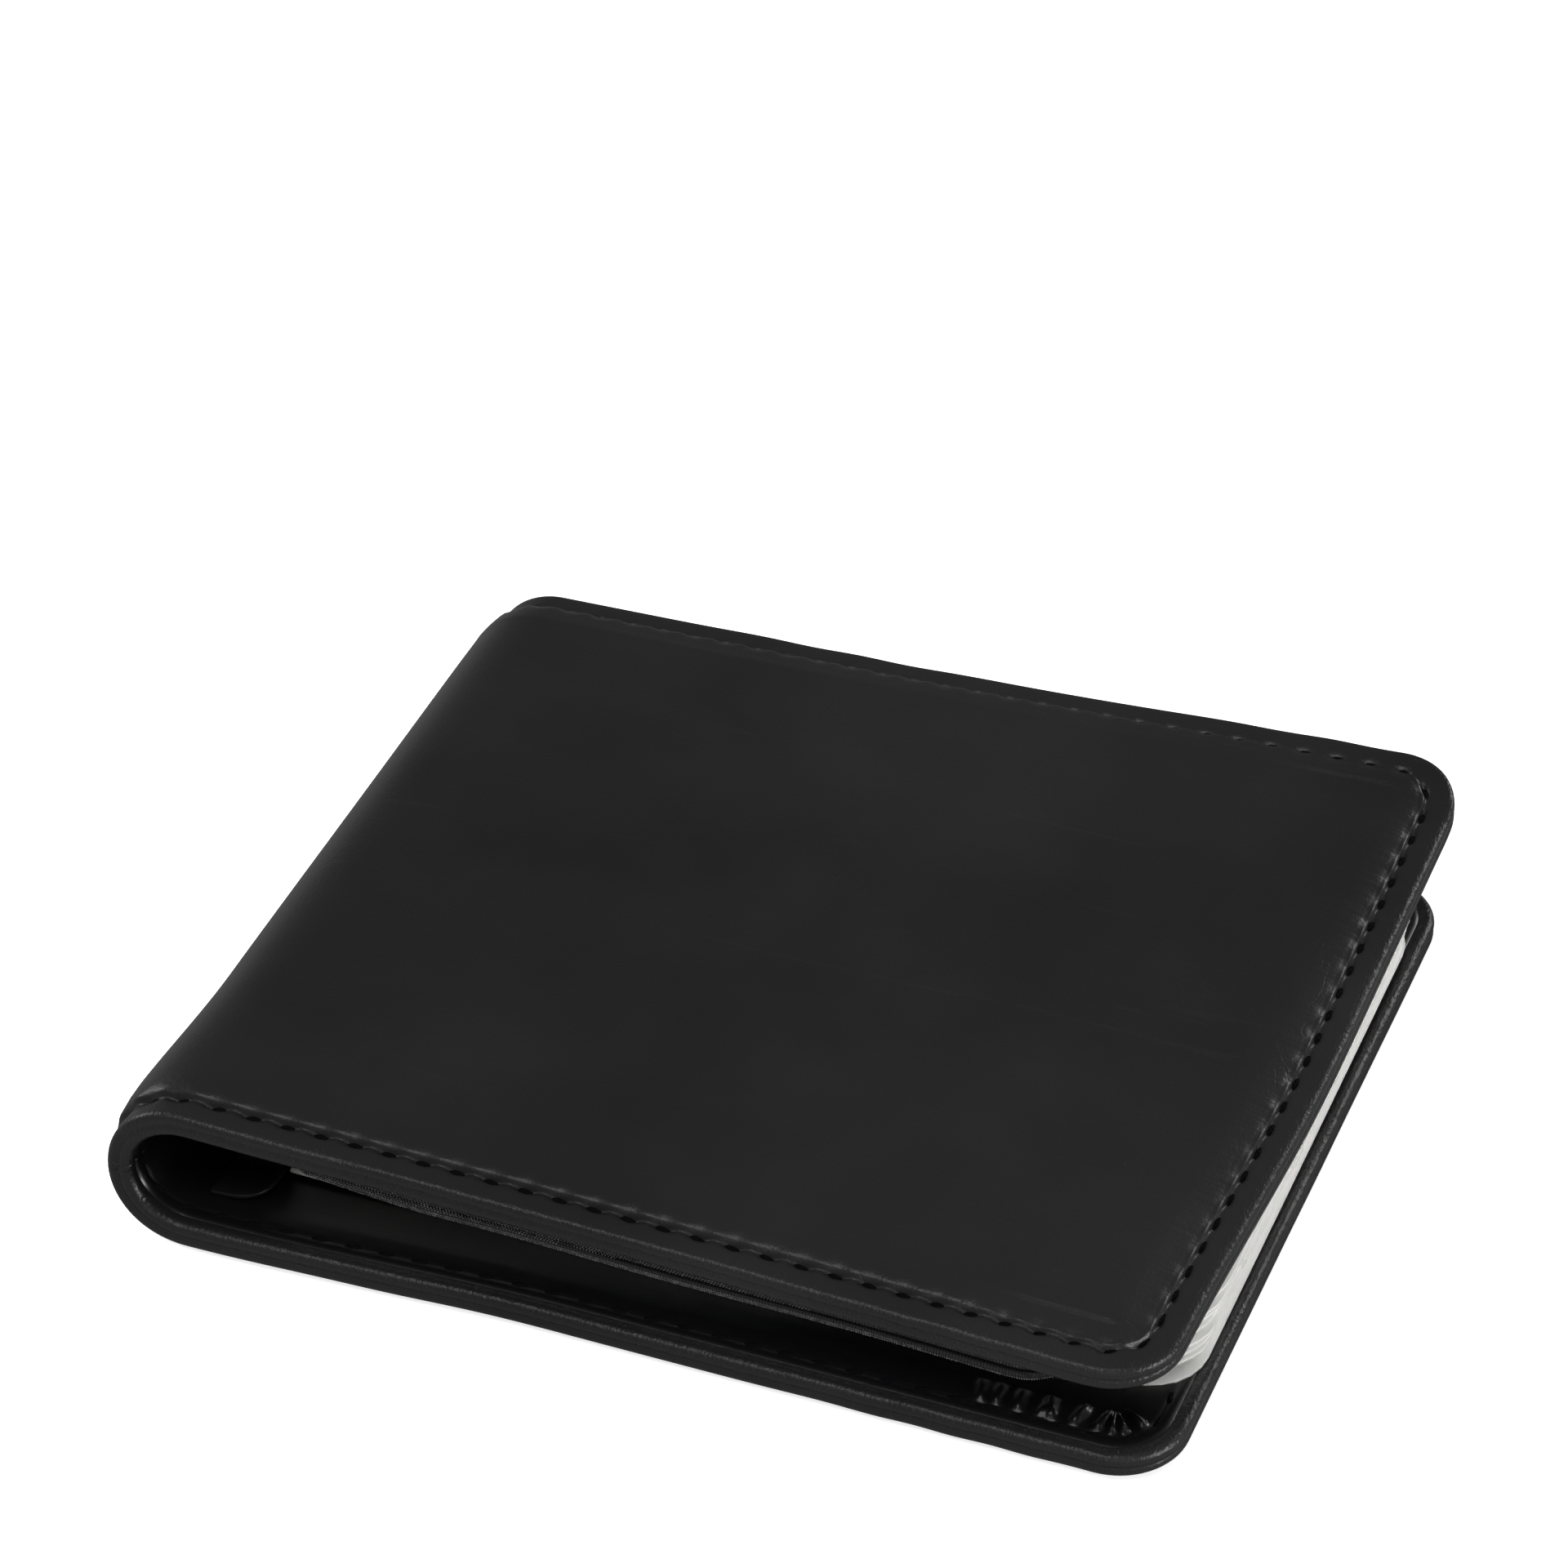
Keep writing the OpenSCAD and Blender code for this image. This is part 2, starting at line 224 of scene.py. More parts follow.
# %% The hide group
def build_hide_group():
    group = new_group("hide_surface",
                      [("Grain size", 0.0003), ("Grain depth", 0.00001), ("Crease depth", 0.00003),
                       ("Scratches", 0.5)],
                      ["Height", "Tone", "Shine"])
    source = add(group, "NodeGroupInput")
    place = add(group, "ShaderNodeTexCoord").outputs["Object"]
    per_metre = math_node(group, "DIVIDE", 1.0, source.outputs["Grain size"])
    drift = add(group, "ShaderNodeTexNoise", Vector=place, Scale=1500.0, Detail=2.0)
    moved = add(group, "ShaderNodeVectorMath", {"operation": "MULTIPLY_ADD"}, i0=drift.outputs["Color"],
                i1=(0.0004, 0.0004, 0.0004), i2=place).outputs[0]
    cells = add(group, "ShaderNodeTexVoronoi", {"feature": "SMOOTH_F1"}, Vector=moved, Scale=per_metre)
    fine = add(group, "ShaderNodeTexNoise", Vector=place, Scale=6500.0, Detail=3.0)
    grain = math_node(group, "SUBTRACT", math_node(group, "MULTIPLY", fine.outputs["Fac"], 0.6),
                      cells.outputs["Distance"])
    grain = math_node(group, "MULTIPLY", grain, source.outputs["Grain depth"])
    # Creases come and go in patches, as the hide was bent here and there
    bent = add(group, "ShaderNodeTexNoise", Vector=place, Scale=110.0, Detail=4.0, Roughness=0.5,
               Distortion=1.6)
    ridge = math_node(group, "ABSOLUTE", math_node(group, "SUBTRACT", bent.outputs["Fac"], 0.5))
    patches = add(group, "ShaderNodeTexNoise", Vector=place, Scale=45.0, Detail=2.0)
    where = smooth_step(group, patches.outputs["Fac"], 0.36, 0.60)
    crease = math_node(group, "MULTIPLY", smooth_step(group, ridge, 0.0, 0.03), where)
    crease = math_node(group, "MULTIPLY", crease, source.outputs["Crease depth"])
    stretched = add(group, "ShaderNodeMapping", Vector=place, Scale=(30.0, 420.0, 30.0),
                    Rotation=(0.0, 0.0, 1.0))
    streak = add(group, "ShaderNodeTexNoise", Vector=stretched.outputs["Vector"], Scale=1.0, Detail=5.0,
                 Distortion=0.6)
    scratch = smooth_step(group, streak.outputs["Fac"], 0.66, 0.74)
    scratch = math_node(group, "MULTIPLY", scratch, source.outputs["Scratches"])
    slow = add(group, "ShaderNodeTexNoise", Vector=place, Scale=30.0, Detail=3.0)
    height = math_node(group, "ADD", grain, crease)
    height = math_node(group, "SUBTRACT", height, math_node(group, "MULTIPLY", scratch, 0.000010))
    tone = math_node(group, "MULTIPLY", slow.outputs["Fac"], 0.7)
    tone = math_node(group, "ADD", tone, math_node(group, "MULTIPLY", scratch, 0.4))
    shine = math_node(group, "ADD", math_node(group, "MULTIPLY", fine.outputs["Fac"], 0.4),
                      math_node(group, "MULTIPLY", slow.outputs["Fac"], 0.6))
    add(group, "NodeGroupOutput", Height=height, Tone=tone, Shine=shine)
    return group


hide_group = build_hide_group()
print("hide group has", len(hide_group.nodes), "nodes")

# %% [markdown]
# Near the opening seam the thread pulls the padded panel into short wrinkles that run in from the seam.
# The sheets below carry two attributes for this: edge_d, the distance from the rim, and seam_s, the
# distance along the seam. A noise that is fine along the seam and long across it draws the wrinkles.

# %% The seam wrinkle group
def build_wrinkle_group():
    group = new_group("seam_wrinkles", [("Depth", 0.00005), ("Reach", 0.009), ("Rim depth", 0.00002)],
                      ["Height"])
    source = add(group, "NodeGroupInput")
    inward = add(group, "ShaderNodeAttribute", {"attribute_name": "edge_d"}).outputs["Fac"]
    along = add(group, "ShaderNodeAttribute", {"attribute_name": "seam_s"}).outputs["Fac"]
    place = add(group, "ShaderNodeTexCoord").outputs["Object"]
    towards = add(group, "ShaderNodeSeparateXYZ", Vector=place).outputs["X"]
    pattern = add(group, "ShaderNodeCombineXYZ", X=math_node(group, "MULTIPLY", along, 900.0),
                  Y=math_node(group, "MULTIPLY", inward, 90.0)).outputs["Vector"]
    ripple = add(group, "ShaderNodeTexNoise", Vector=pattern, Scale=1.0, Detail=2.0, Distortion=0.5)
    begin = smooth_step(group, inward, 0.0031, 0.0042)
    left = math_node(group, "SUBTRACT", 1.0, math_node(group, "DIVIDE", inward, source.outputs["Reach"]))
    fade = math_node(group, "MAXIMUM", left, 0.0)
    there = smooth_step(group, towards, 0.030, 0.046)
    mask = math_node(group, "MULTIPLY", math_node(group, "MULTIPLY", begin, fade), there)
    height = math_node(group, "MULTIPLY", math_node(group, "MULTIPLY", ripple.outputs["Fac"], mask),
                       source.outputs["Depth"])
    # Round the rolled rim the grain is squeezed into short crinkles across the roll
    stretch = add(group, "ShaderNodeVectorMath", {"operation": "MULTIPLY"}, i0=place,
                  i1=(3200.0, 1400.0, 1400.0))
    crinkle = add(group, "ShaderNodeTexNoise", Vector=stretch.outputs[0], Scale=1.0, Detail=2.0,
                  Distortion=0.3)
    at_rim = math_node(group, "SUBTRACT", 1.0, smooth_step(group, inward, 0.0009, 0.0020))
    rim = math_node(group, "MULTIPLY", math_node(group, "MULTIPLY", crinkle.outputs["Fac"], at_rim),
                    source.outputs["Rim depth"])
    add(group, "NodeGroupOutput", Height=math_node(group, "ADD", height, rim))
    return group


wrinkle_group = build_wrinkle_group()


# %% [markdown]
# ## Finishes
# Each finish is a Principled shader. The values that are the same everywhere sit on its own sockets, and
# only what changes over the surface comes in through the groups.

# %% Leather finishes
def raise_surface(tree, shader, height):
    """Uses a height in metres as the shader's bump."""
    bump = add(tree, "ShaderNodeBump", Height=height, Strength=1.0, Distance=1.0)
    tree.links.new(bump.outputs["Normal"], shader.inputs["Normal"])


def spread_roughness(tree, shader, factor, smoothest, roughest):
    spread = add(tree, "ShaderNodeMapRange", Value=factor)
    spread.inputs["To Min"].default_value, spread.inputs["To Max"].default_value = smoothest, roughest
    tree.links.new(spread.outputs["Result"], shader.inputs["Roughness"])


def new_finish(name, roughness, **values):
    finish = bpy.data.materials.new(name)
    finish.use_nodes = True
    shader = finish.node_tree.nodes["Principled BSDF"]
    shader.inputs["Roughness"].default_value = roughness
    for key, value in values.items():
        shader.inputs[key.replace("_", " ")].default_value = value
    return finish, finish.node_tree, shader


def leather(name, dark, light, rough, grain, crease, scratches, wrinkle=0.0, rim=0.0, grain_size=0.0003,
            **values):
    finish, tree, shader = new_finish(name, rough[0], **values)
    hide = add(tree, "ShaderNodeGroup", {"node_tree": hide_group})
    hide.inputs["Grain size"].default_value = grain_size
    hide.inputs["Grain depth"].default_value = grain
    hide.inputs["Crease depth"].default_value = crease
    hide.inputs["Scratches"].default_value = scratches
    colour = blend_colours(tree, hide.outputs["Tone"], dark, light)
    tree.links.new(colour, shader.inputs["Base Color"])
    spread_roughness(tree, shader, hide.outputs["Shine"], *rough)
    height = hide.outputs["Height"]
    if wrinkle:
        pulled = add(tree, "ShaderNodeGroup", {"node_tree": wrinkle_group})
        pulled.inputs["Depth"].default_value = wrinkle
        pulled.inputs["Rim depth"].default_value = rim
        height = math_node(tree, "ADD", height, pulled.outputs["Height"])
    raise_surface(tree, shader, height)
    return finish


outer_hide = leather("outer_hide", (0.0010, 0.0010, 0.0011), (0.0230, 0.0230, 0.0242), (0.29, 0.42),
                     grain=0.000020, crease=0.000014, scratches=0.25, wrinkle=0.00022, rim=0.00010)
lining_hide = leather("lining_hide", (0.0020, 0.0020, 0.0022), (0.0045, 0.0045, 0.0050), (0.24, 0.36),
                      grain=0.000003, crease=0.000006, scratches=0.2, grain_size=0.0006,
                      Specular_IOR_Level=0.36, Coat_Weight=0.25, Coat_Roughness=0.14)
pocket_hide = leather("pocket_hide", (0.0030, 0.0030, 0.0034), (0.0080, 0.0080, 0.0090), (0.32, 0.46),
                      grain=0.000008, crease=0.000005, scratches=0.3, Specular_IOR_Level=0.22)
print("leather finishes ready")


# %% Thread, cloth, film, foam and board
def thread_finish():
    finish, tree, shader = new_finish("seam_thread", 0.9)
    shader.inputs["Base Color"].default_value = (0.002, 0.002, 0.0025, 1.0)
    shader.inputs["Specular IOR Level"].default_value = 0.08
    place = add(tree, "ShaderNodeTexCoord").outputs["Object"]
    ply = add(tree, "ShaderNodeTexWave", {"bands_direction": "DIAGONAL"}, Vector=place, Scale=900.0,
              Distortion=1.0)
    raise_surface(tree, shader, math_node(tree, "MULTIPLY", ply.outputs["Fac"], 0.00005))
    return finish


def cloth_finish():
    finish, tree, shader = new_finish("bill_cloth", 0.6)
    place = add(tree, "ShaderNodeTexCoord").outputs["Object"]
    warp = add(tree, "ShaderNodeTexWave", {"bands_direction": "X"}, Vector=place, Scale=1000.0)
    weft = add(tree, "ShaderNodeTexWave", {"bands_direction": "Y"}, Vector=place, Scale=1000.0)
    weave = math_node(tree, "MULTIPLY", warp.outputs["Fac"], weft.outputs["Fac"])
    colour = blend_colours(tree, weave, (0.004, 0.004, 0.004), (0.022, 0.022, 0.023))
    tree.links.new(colour, shader.inputs["Base Color"])
    raise_surface(tree, shader, math_node(tree, "MULTIPLY", weave, 0.00006))
    return finish


def film_finish():
    finish, tree, shader = new_finish("frosted_film", 0.32, Transmission_Weight=0.12, IOR=1.5)
    place = add(tree, "ShaderNodeTexCoord").outputs["Object"]
    haze = add(tree, "ShaderNodeTexNoise", Vector=place, Scale=180.0, Detail=4.0)
    colour = blend_colours(tree, haze.outputs["Fac"], (0.84, 0.835, 0.81), (0.95, 0.945, 0.92))
    tree.links.new(colour, shader.inputs["Base Color"])
    spread_roughness(tree, shader, haze.outputs["Fac"], 0.2, 0.42)
    raise_surface(tree, shader, math_node(tree, "MULTIPLY", haze.outputs["Fac"], 0.00004))
    return finish


def inner_finish(name, dark, light, size):
    finish, tree, shader = new_finish(name, 0.85)
    place = add(tree, "ShaderNodeTexCoord").outputs["Object"]
    cells = add(tree, "ShaderNodeTexVoronoi", Vector=place, Scale=1.0 / size)
    colour = blend_colours(tree, cells.outputs["Distance"], dark, light)
    tree.links.new(colour, shader.inputs["Base Color"])
    raise_surface(tree, shader, math_node(tree, "MULTIPLY", cells.outputs["Distance"], size * 0.2))
    return finish


def selvedge_finish():
    finish, tree, shader = new_finish("selvedge_thread_and_glints", 0.3)
    place = add(tree, "ShaderNodeTexCoord").outputs["Object"]
    uneven = add(tree, "ShaderNodeTexNoise", Vector=place, Scale=900.0, Detail=1.0)
    # Lighter grey than the cloth: partly the thread's own colour, partly a painted highlight for the glints
    # on the loops
    colour = blend_colours(tree, uneven.outputs["Fac"], (0.02, 0.02, 0.02), (0.16, 0.16, 0.16))
    tree.links.new(colour, shader.inputs["Base Color"])
    return finish


seam_thread, bill_cloth, frosted_film = thread_finish(), cloth_finish(), film_finish()
selvedge_thread_and_glints = selvedge_finish()
open_foam = inner_finish("open_foam", (0.03, 0.03, 0.03), (0.12, 0.12, 0.12), 0.0004)
bonded_board = inner_finish("bonded_board", (0.13, 0.11, 0.08), (0.30, 0.27, 0.21), 0.0010)
print("finishes:", len(bpy.data.materials))

# %% [markdown]
# ## From a flat pattern to the wallet
# A leather worker cuts a cover flat and then bends it, so the sheets here are drawn flat too. A point of
# the pattern has s, the distance from the middle of the fold, v, the place along the fold, and h, how deep
# it lies under the outer face. One function bends that pattern round the fold for either cover, and adds
# the slight twist of the upper cover, whose far corner stands up and whose near corner sags.

# %% Bend the pattern
sag_fold_near, sag_fold_far = -0.2 * MM, -1.4 * MM
sag_open_near, sag_open_far = -2.9 * MM, 2.0 * MM
corner_curl = 1.3 * MM
flare_out, flare_near, flare_low = 1.3 * MM, 0.3 * MM, 1.2 * MM
draw_in = 2.1 * MM  # the near opening corner of the upper cover is pulled back


def smooth(t):
    t = np.clip(t, 0.0, 1.0)
    return t * t * (3 - 2 * t)


def twist(x, y):
    """How far the upper cover stands above its level place."""
    across = np.clip((x - fold_x) / (front_end - fold_x), 0, 1)
    along = (y + half_h) / (2 * half_h)
    at_fold = sag_fold_near + (sag_fold_far - sag_fold_near) * along
    at_opening = sag_open_near + (sag_open_far - sag_open_near) * along
    curl = corner_curl * smooth((y - 38 * MM) / (9 * MM)) * smooth((x + 10 * MM) / (60 * MM))
    return at_fold + (at_opening - at_fold) * across + curl


def settle(points, low=4.0 * MM, high=12.0 * MM):
    """Adds the twist of the upper cover, and the flare of the fold at its near end."""
    x, y, z = points.T.copy()
    points[:, 2] += twist(x, y) * smooth((z - low) / (high - low))
    near = smooth((-y - 22 * MM) / (25.5 * MM))
    points[:, 0] -= flare_out * near * smooth((-38 * MM - x) / (14 * MM))
    lower = np.clip(1 - z / wallet_t, 0, 1)
    points[:, 1] -= (flare_near + flare_low * lower) * near * smooth((-8 * MM - x) / (38 * MM))
    toward_corner = smooth((2 * MM - y) / (48 * MM)) * smooth((x - 10 * MM) / (42 * MM))
    points[:, 0] -= draw_in * toward_corner * smooth((z - low) / (high - low))
    return points


def bend(cover, s, v, h):
    """Pattern to place. cover is back or front."""
    s, v, h = (np.asarray(a, float) for a in (s, v, h))
    if cover == "back":
        h = np.maximum(h, 0.0)  # the lower cover lies flat on the table
    angle = np.maximum(fold_arc - s, 0.0) / fold_r
    x = fold_x - (fold_r - h) * np.sin(angle) + np.maximum(s - fold_arc, 0.0)
    z = fold_r - (fold_r - h) * np.cos(angle)
    if cover == "front":
        z = wallet_t - z
    return settle(np.stack([x, v + 0 * x, z], axis=1))


cover_s = {"back": fold_arc + back_end - fold_x, "front": fold_arc + front_end - fold_x}
print("pattern lengths", {name: round(value, 4) for name, value in cover_s.items()})

# %% [markdown]
# ## One mesh layout for every sheet
# All the sheets have one straight side at the fold and two rounded corners at the opening. Rings of quads
# follow the edge, so a rim, a seam channel or a shoulder stays sharp round the corner, and a plain grid
# fills the middle. Each sheet is told its rings as pairs: distance from the rim, and depth.

# %% The ringed sheet
fine_reach = 14 * MM


class Sheet:
    def __init__(self, start_s, end_s, half_v, radius, spacing, fine=0.0):
        """fine is a closer spacing for the corners and the fine_reach before them."""
        self.start_s, self.end_s, self.half_v, self.radius = start_s, end_s, half_v, radius
        self.centre_s, self.centre_v = end_s - radius, half_v - radius
        fine = fine or spacing
        fine_from = self.centre_s - (fine_reach if fine < spacing else 0.0)
        coarse = max(4, round((fine_from - start_s) / spacing))
        close = round((self.centre_s - fine_from) / fine)
        self.run = np.concatenate([np.linspace(start_s, fine_from, coarse + 1),
                                   np.linspace(fine_from, self.centre_s, close + 1)[1:]])
        self.side = len(self.run) - 1
        self.corner = max(6, 2 * round(radius * math.pi / 4 / fine / 1.2))
        self.open = max(8, round(2 * (half_v - radius) / spacing))

    def path(self, inset):
        """Points at one distance from the rim, from the fold round the opening and back."""
        radius, run = self.radius - inset, self.run
        turn = np.linspace(0, math.pi / 2, self.corner + 1)
        rise = np.linspace(-self.centre_v, self.centre_v, self.open + 1)
        s = np.concatenate([run, self.centre_s + radius * np.sin(turn[1:]),
                            np.full(self.open, self.end_s - inset),
                            self.centre_s + radius * np.cos(turn[1:]), run[::-1][1:]])
        v = np.concatenate([np.full(len(run), -self.centre_v - radius),
                            -self.centre_v - radius * np.cos(turn[1:]), rise[1:],
                            self.centre_v + radius * np.sin(turn[1:]),
                            np.full(self.side, self.centre_v + radius)])
        return s, v

    def seam_at(self, inset):
        """Distance along the seam of each point of a ring."""
        s, v = self.path(inset)
        steps = np.hypot(np.diff(s), np.diff(v))
        return self.start_s + np.concatenate([[0], np.cumsum(steps)])

    def middle(self, inset):
        """The grid inside the last ring, and the indices of its edge in path order."""
        radius = self.radius - inset
        half = self.corner // 2
        lean = math.sqrt(2) * np.sin(np.linspace(0, math.pi / 4, half + 1)[1:])
        base_s = np.concatenate([self.run, np.full(half, self.centre_s)])
        a = np.concatenate([np.zeros(len(self.run)), lean])
        rise = np.linspace(-self.centre_v, self.centre_v, self.open + 1)
        base_v = np.concatenate([np.full(half, -self.centre_v), rise, np.full(half, self.centre_v)])
        b = np.concatenate([-lean[::-1], np.zeros(len(rise)), lean])
        s = base_s[:, None] + radius * a[:, None] * np.sqrt(1 - b[None, :] ** 2 / 2)
        v = base_v[None, :] + radius * b[None, :] * np.sqrt(1 - a[:, None] ** 2 / 2)
        index = np.arange(s.size).reshape(s.shape)
        edge = np.concatenate([index[:, 0], index[-1, 1:], index[::-1, -1][1:]])
        return s, v, index, edge

    def inset_of(self, s, v):
        ds, dv = self.end_s - s, self.half_v - np.abs(v)
        round_in = self.radius - np.hypot(np.maximum(self.radius - ds, 0), np.maximum(self.radius - dv, 0))
        return np.where((ds < self.radius) & (dv < self.radius), round_in, np.minimum(ds, dv))


def quads(lower, upper):
    return np.stack([lower[:-1], lower[1:], upper[1:], upper[:-1]], axis=1)


def grid_faces(index):
    """A quad for each cell of a grid of point numbers."""
    return np.stack([index[:-1, :-1], index[1:, :-1], index[1:, 1:], index[:-1, 1:]], -1).reshape(-1, 4)


def build_sheet(name, sheet, rings, place, finish, shape=None, thick=0.0, seam_inset=seam_inset):
    """rings ends at the edge of the middle grid. shape(s, v, inset, seam) adds to the depth, and place
    turns s, v and depth into points. A thickness closes the sheet on its hidden side."""
    seam = sheet.seam_at(seam_inset)
    s_all, v_all, h_all, in_all, seam_all, faces = [], [], [], [], [], []
    count, last = 0, None

    def keep(*columns):
        for store, column in zip((s_all, v_all, h_all, in_all, seam_all), columns):
            store.append(column)

    for inset, depth in rings[:-1]:
        s, v = sheet.path(inset)
        here = count + np.arange(len(s))
        if last is not None:
            faces.append(quads(last, here))
        keep(s, v, np.full(len(s), depth), np.full(len(s), inset), seam)
        last, count = here, count + len(s)
    inset, depth = rings[-1]
    s, v, index, edge = sheet.middle(inset)
    faces.append(quads(last, count + edge))
    grid = count + index
    faces.append(grid_faces(grid))
    s, v = s.ravel(), v.ravel()
    rise_s = np.interp(v, [-sheet.centre_v, sheet.centre_v], [0, 2 * sheet.centre_v])
    keep(s, v, np.full(s.size, depth), sheet.inset_of(s, v), rise_s + seam[sheet.side + sheet.corner])
    s, v, h, inset, seam = (np.concatenate(a) for a in (s_all, v_all, h_all, in_all, seam_all))
    if shape is not None:
        h = h + shape(s, v, inset, seam)
    points = place(s, v, h)
    mesh = bpy.data.meshes.new(name)
    faces = np.concatenate(faces)
    mesh.from_pydata(points.tolist(), [], faces.tolist())
    for label, values in (("edge_d", inset), ("seam_s", seam)):
        mesh.attributes.new(label, "FLOAT", "POINT").data.foreach_set("value", values.astype(np.float32))
    mesh.update()
    outward = place(s[-1:], v[-1:], h[-1:] - 0.1 * MM)[0] - points[-1]
    if sum(np.array(mesh.polygons[-1].normal) * outward) < 0:
        mesh.flip_normals()
    mesh.materials.append(finish)
    piece = bpy.data.objects.new(name, mesh)
    scene.collection.objects.link(piece)
    if thick:
        wall = piece.modifiers.new("wall", "SOLIDIFY")
        wall.thickness, wall.offset = thick, -1.0
        wall.use_even_offset = False
        finish_mesh(piece)
    mesh = piece.data
    mesh.polygons.foreach_set("use_smooth", [True] * len(mesh.polygons))
    print(f"{name}: {len(mesh.vertices)} points")
    return piece


def finish_mesh(piece):
    """Turns a piece and its modifiers into one plain mesh."""
    scene_graph = bpy.context.evaluated_depsgraph_get()
    mesh = bpy.data.meshes.new_from_object(piece.evaluated_get(scene_graph))
    piece.modifiers.clear()
    piece.data = mesh
    return piece


# %% [markdown]
# ## The outer leather
# In section, from the inside out: the leather turns over the edge in a rolled rim, runs as a narrow flat
# band to the seam channel, and swells into the padded panel. The seam pulls the panel down at each stitch,
# so its foot is scalloped. The piece is split at the middle of the fold, because each half follows its
# own crease, and each half tucks a hair under the other.

# %% Outer leather section
def round_off(centre_d, centre_h, radius, first, last, steps):
    """Part of the rim's outline, from one angle to another, in degrees below the outward direction."""
    turns = np.radians(np.linspace(first, last, steps))
    return [(centre_d - radius * math.cos(a), centre_h + radius * math.sin(a)) for a in turns]


# The edge is folded double, so it shows two soft rounds with a groove between them
top_r, lip_r = 0.72 * MM, 0.80 * MM
rim_rings = [(2.0 * MM, cover_t - 0.30 * MM), (1.6 * MM, cover_t - 0.12 * MM)]
rim_rings += round_off(0.86 * MM, cover_t - lip_r, lip_r, 110, -30, 11)
rim_rings += [(0.27 * MM, pad_rise + 1.28 * MM)]
rim_rings += round_off(top_r + 0.08 * MM, pad_rise + top_r, top_r, 30, -90, 9)
channel = [(1.25, 0.99), (1.75, 0.98), (2.2, 0.985), (2.45, 1.01), (2.65, 1.06), (2.83, 1.14), (3.0, 1.20),
           (3.12, 1.10), (3.21, 0.90), (3.30, 0.70), (3.42, 0.53), (3.6, 0.40), (3.9, 0.29), (4.35, 0.20),
           (4.95, 0.13), (5.6, 0.07), (6.3, 0.02)]
leather_rings = rim_rings + [(d * MM, h * MM) for d, h in channel]
rng = np.random.default_rng(7)
stitch_pull = rng.uniform(0.6, 1.3, 400)
foot_waves = rng.uniform(0, 6.28, 6)


def seam_line(cover):
    """The stitch pitch that divides a cover's seam evenly, and the number of stitches."""
    whole = Sheet(0.0, cover_s[cover], half_h, corner_r, 0.4 * MM).seam_at(seam_inset)[-1]
    count = round(whole / stitch_pitch)
    return whole / count, count


seam_pitch, stitch_count = ({cover: seam_line(cover)[i] for cover in cover_s} for i in (0, 1))
print("stitches", stitch_count)


def stitch_phase(seam, pitch):
    """0 at the middle of a stitch and 1 midway between two, with each stitch's own pull."""
    number = seam / pitch - 0.5
    pull = np.interp(number, np.arange(400), stitch_pull)
    return 0.5 - 0.5 * np.cos(2 * math.pi * number), pull


def bell(value, centre, width):
    return np.exp(-((value - centre) / width) ** 2)


# %% [markdown]
# The swell of the padding is simulated. A flat patch the size of both panels is held at every stitch and
# blown up a little by pressure, with no gravity. The foam can only rise so far, so the rise is capped
# softly, and it is kept as a height field that the fine mesh reads.

# %% Simulate the padded panel
def simulate_swell(rise_cap=0.34 * MM, frames=16):
    inset = seam_inset + 0.3 * MM
    step = stitch_pitch / 2
    long_s, long_v = max(cover_s.values()) - inset, half_h - inset
    s = np.linspace(-long_s, long_s, 2 * round(long_s / step) + 1)
    v = np.linspace(-long_v, long_v, 2 * round(long_v / step) + 1)
    grid_s, grid_v = np.meshgrid(s, v, indexing="ij")
    index = np.arange(grid_s.size).reshape(grid_s.shape)
    mesh = bpy.data.meshes.new("swell_patch")
    mesh.from_pydata(np.stack([grid_s.ravel(), grid_v.ravel(), 0 * grid_s.ravel()], 1).tolist(), [],
                     grid_faces(index).tolist())
    patch = bpy.data.objects.new("swell_patch", mesh)
    scene.collection.objects.link(patch)
    edge = np.minimum(long_s - np.abs(grid_s), long_v - np.abs(grid_v))
    held = index[(edge < step / 2) & ((np.arange(len(s))[:, None] + np.arange(len(v))) % 2 == 0)]
    pins = patch.vertex_groups.new(name="stitches")
    pins.add(held.ravel().tolist(), 1.0, "REPLACE")
    cloth = patch.modifiers.new("pressure", "CLOTH")
    cloth.settings.vertex_group_mass = "stitches"
    cloth.settings.quality = 5
    cloth.settings.mass = 0.2
    cloth.settings.tension_stiffness = cloth.settings.compression_stiffness = 12
    cloth.settings.bending_stiffness = 0.4
    cloth.settings.use_pressure = True
    cloth.settings.uniform_pressure_force = 4.0
    cloth.settings.effector_weights.gravity = 0.0
    cloth.collision_settings.use_self_collision = False
    for frame_number in range(1, frames + 1):
        scene.frame_set(frame_number)
    blown = patch.evaluated_get(bpy.context.evaluated_depsgraph_get()).data
    places = np.zeros(3 * grid_s.size)
    blown.vertices.foreach_get("co", places)
    rise = np.abs(places[2::3]).reshape(grid_s.shape)
    scene.frame_set(1)
    bpy.data.objects.remove(patch)
    print(f"swell: blown {rise.max() * 1000:.2f} mm, capped at {rise_cap * 1000:.2f} mm")
    return s, v, rise_cap * (1 - np.exp(-rise / rise_cap / 2))


swell_s, swell_v, swell_rise = simulate_swell()


def swell_at(s, v):
    """The simulated rise of the panel, read between the grid's points."""
    a = np.clip(np.interp(s, swell_s, np.arange(len(swell_s))), 0, len(swell_s) - 1.001)
    b = np.clip(np.interp(v, swell_v, np.arange(len(swell_v))), 0, len(swell_v) - 1.001)
    i, j = a.astype(int), b.astype(int)
    a, b = a - i, b - j
    rise = swell_rise
    low = rise[i, j] * (1 - a) + rise[i + 1, j] * a
    high = rise[i, j + 1] * (1 - a) + rise[i + 1, j + 1] * a
    return low * (1 - b) + high * b


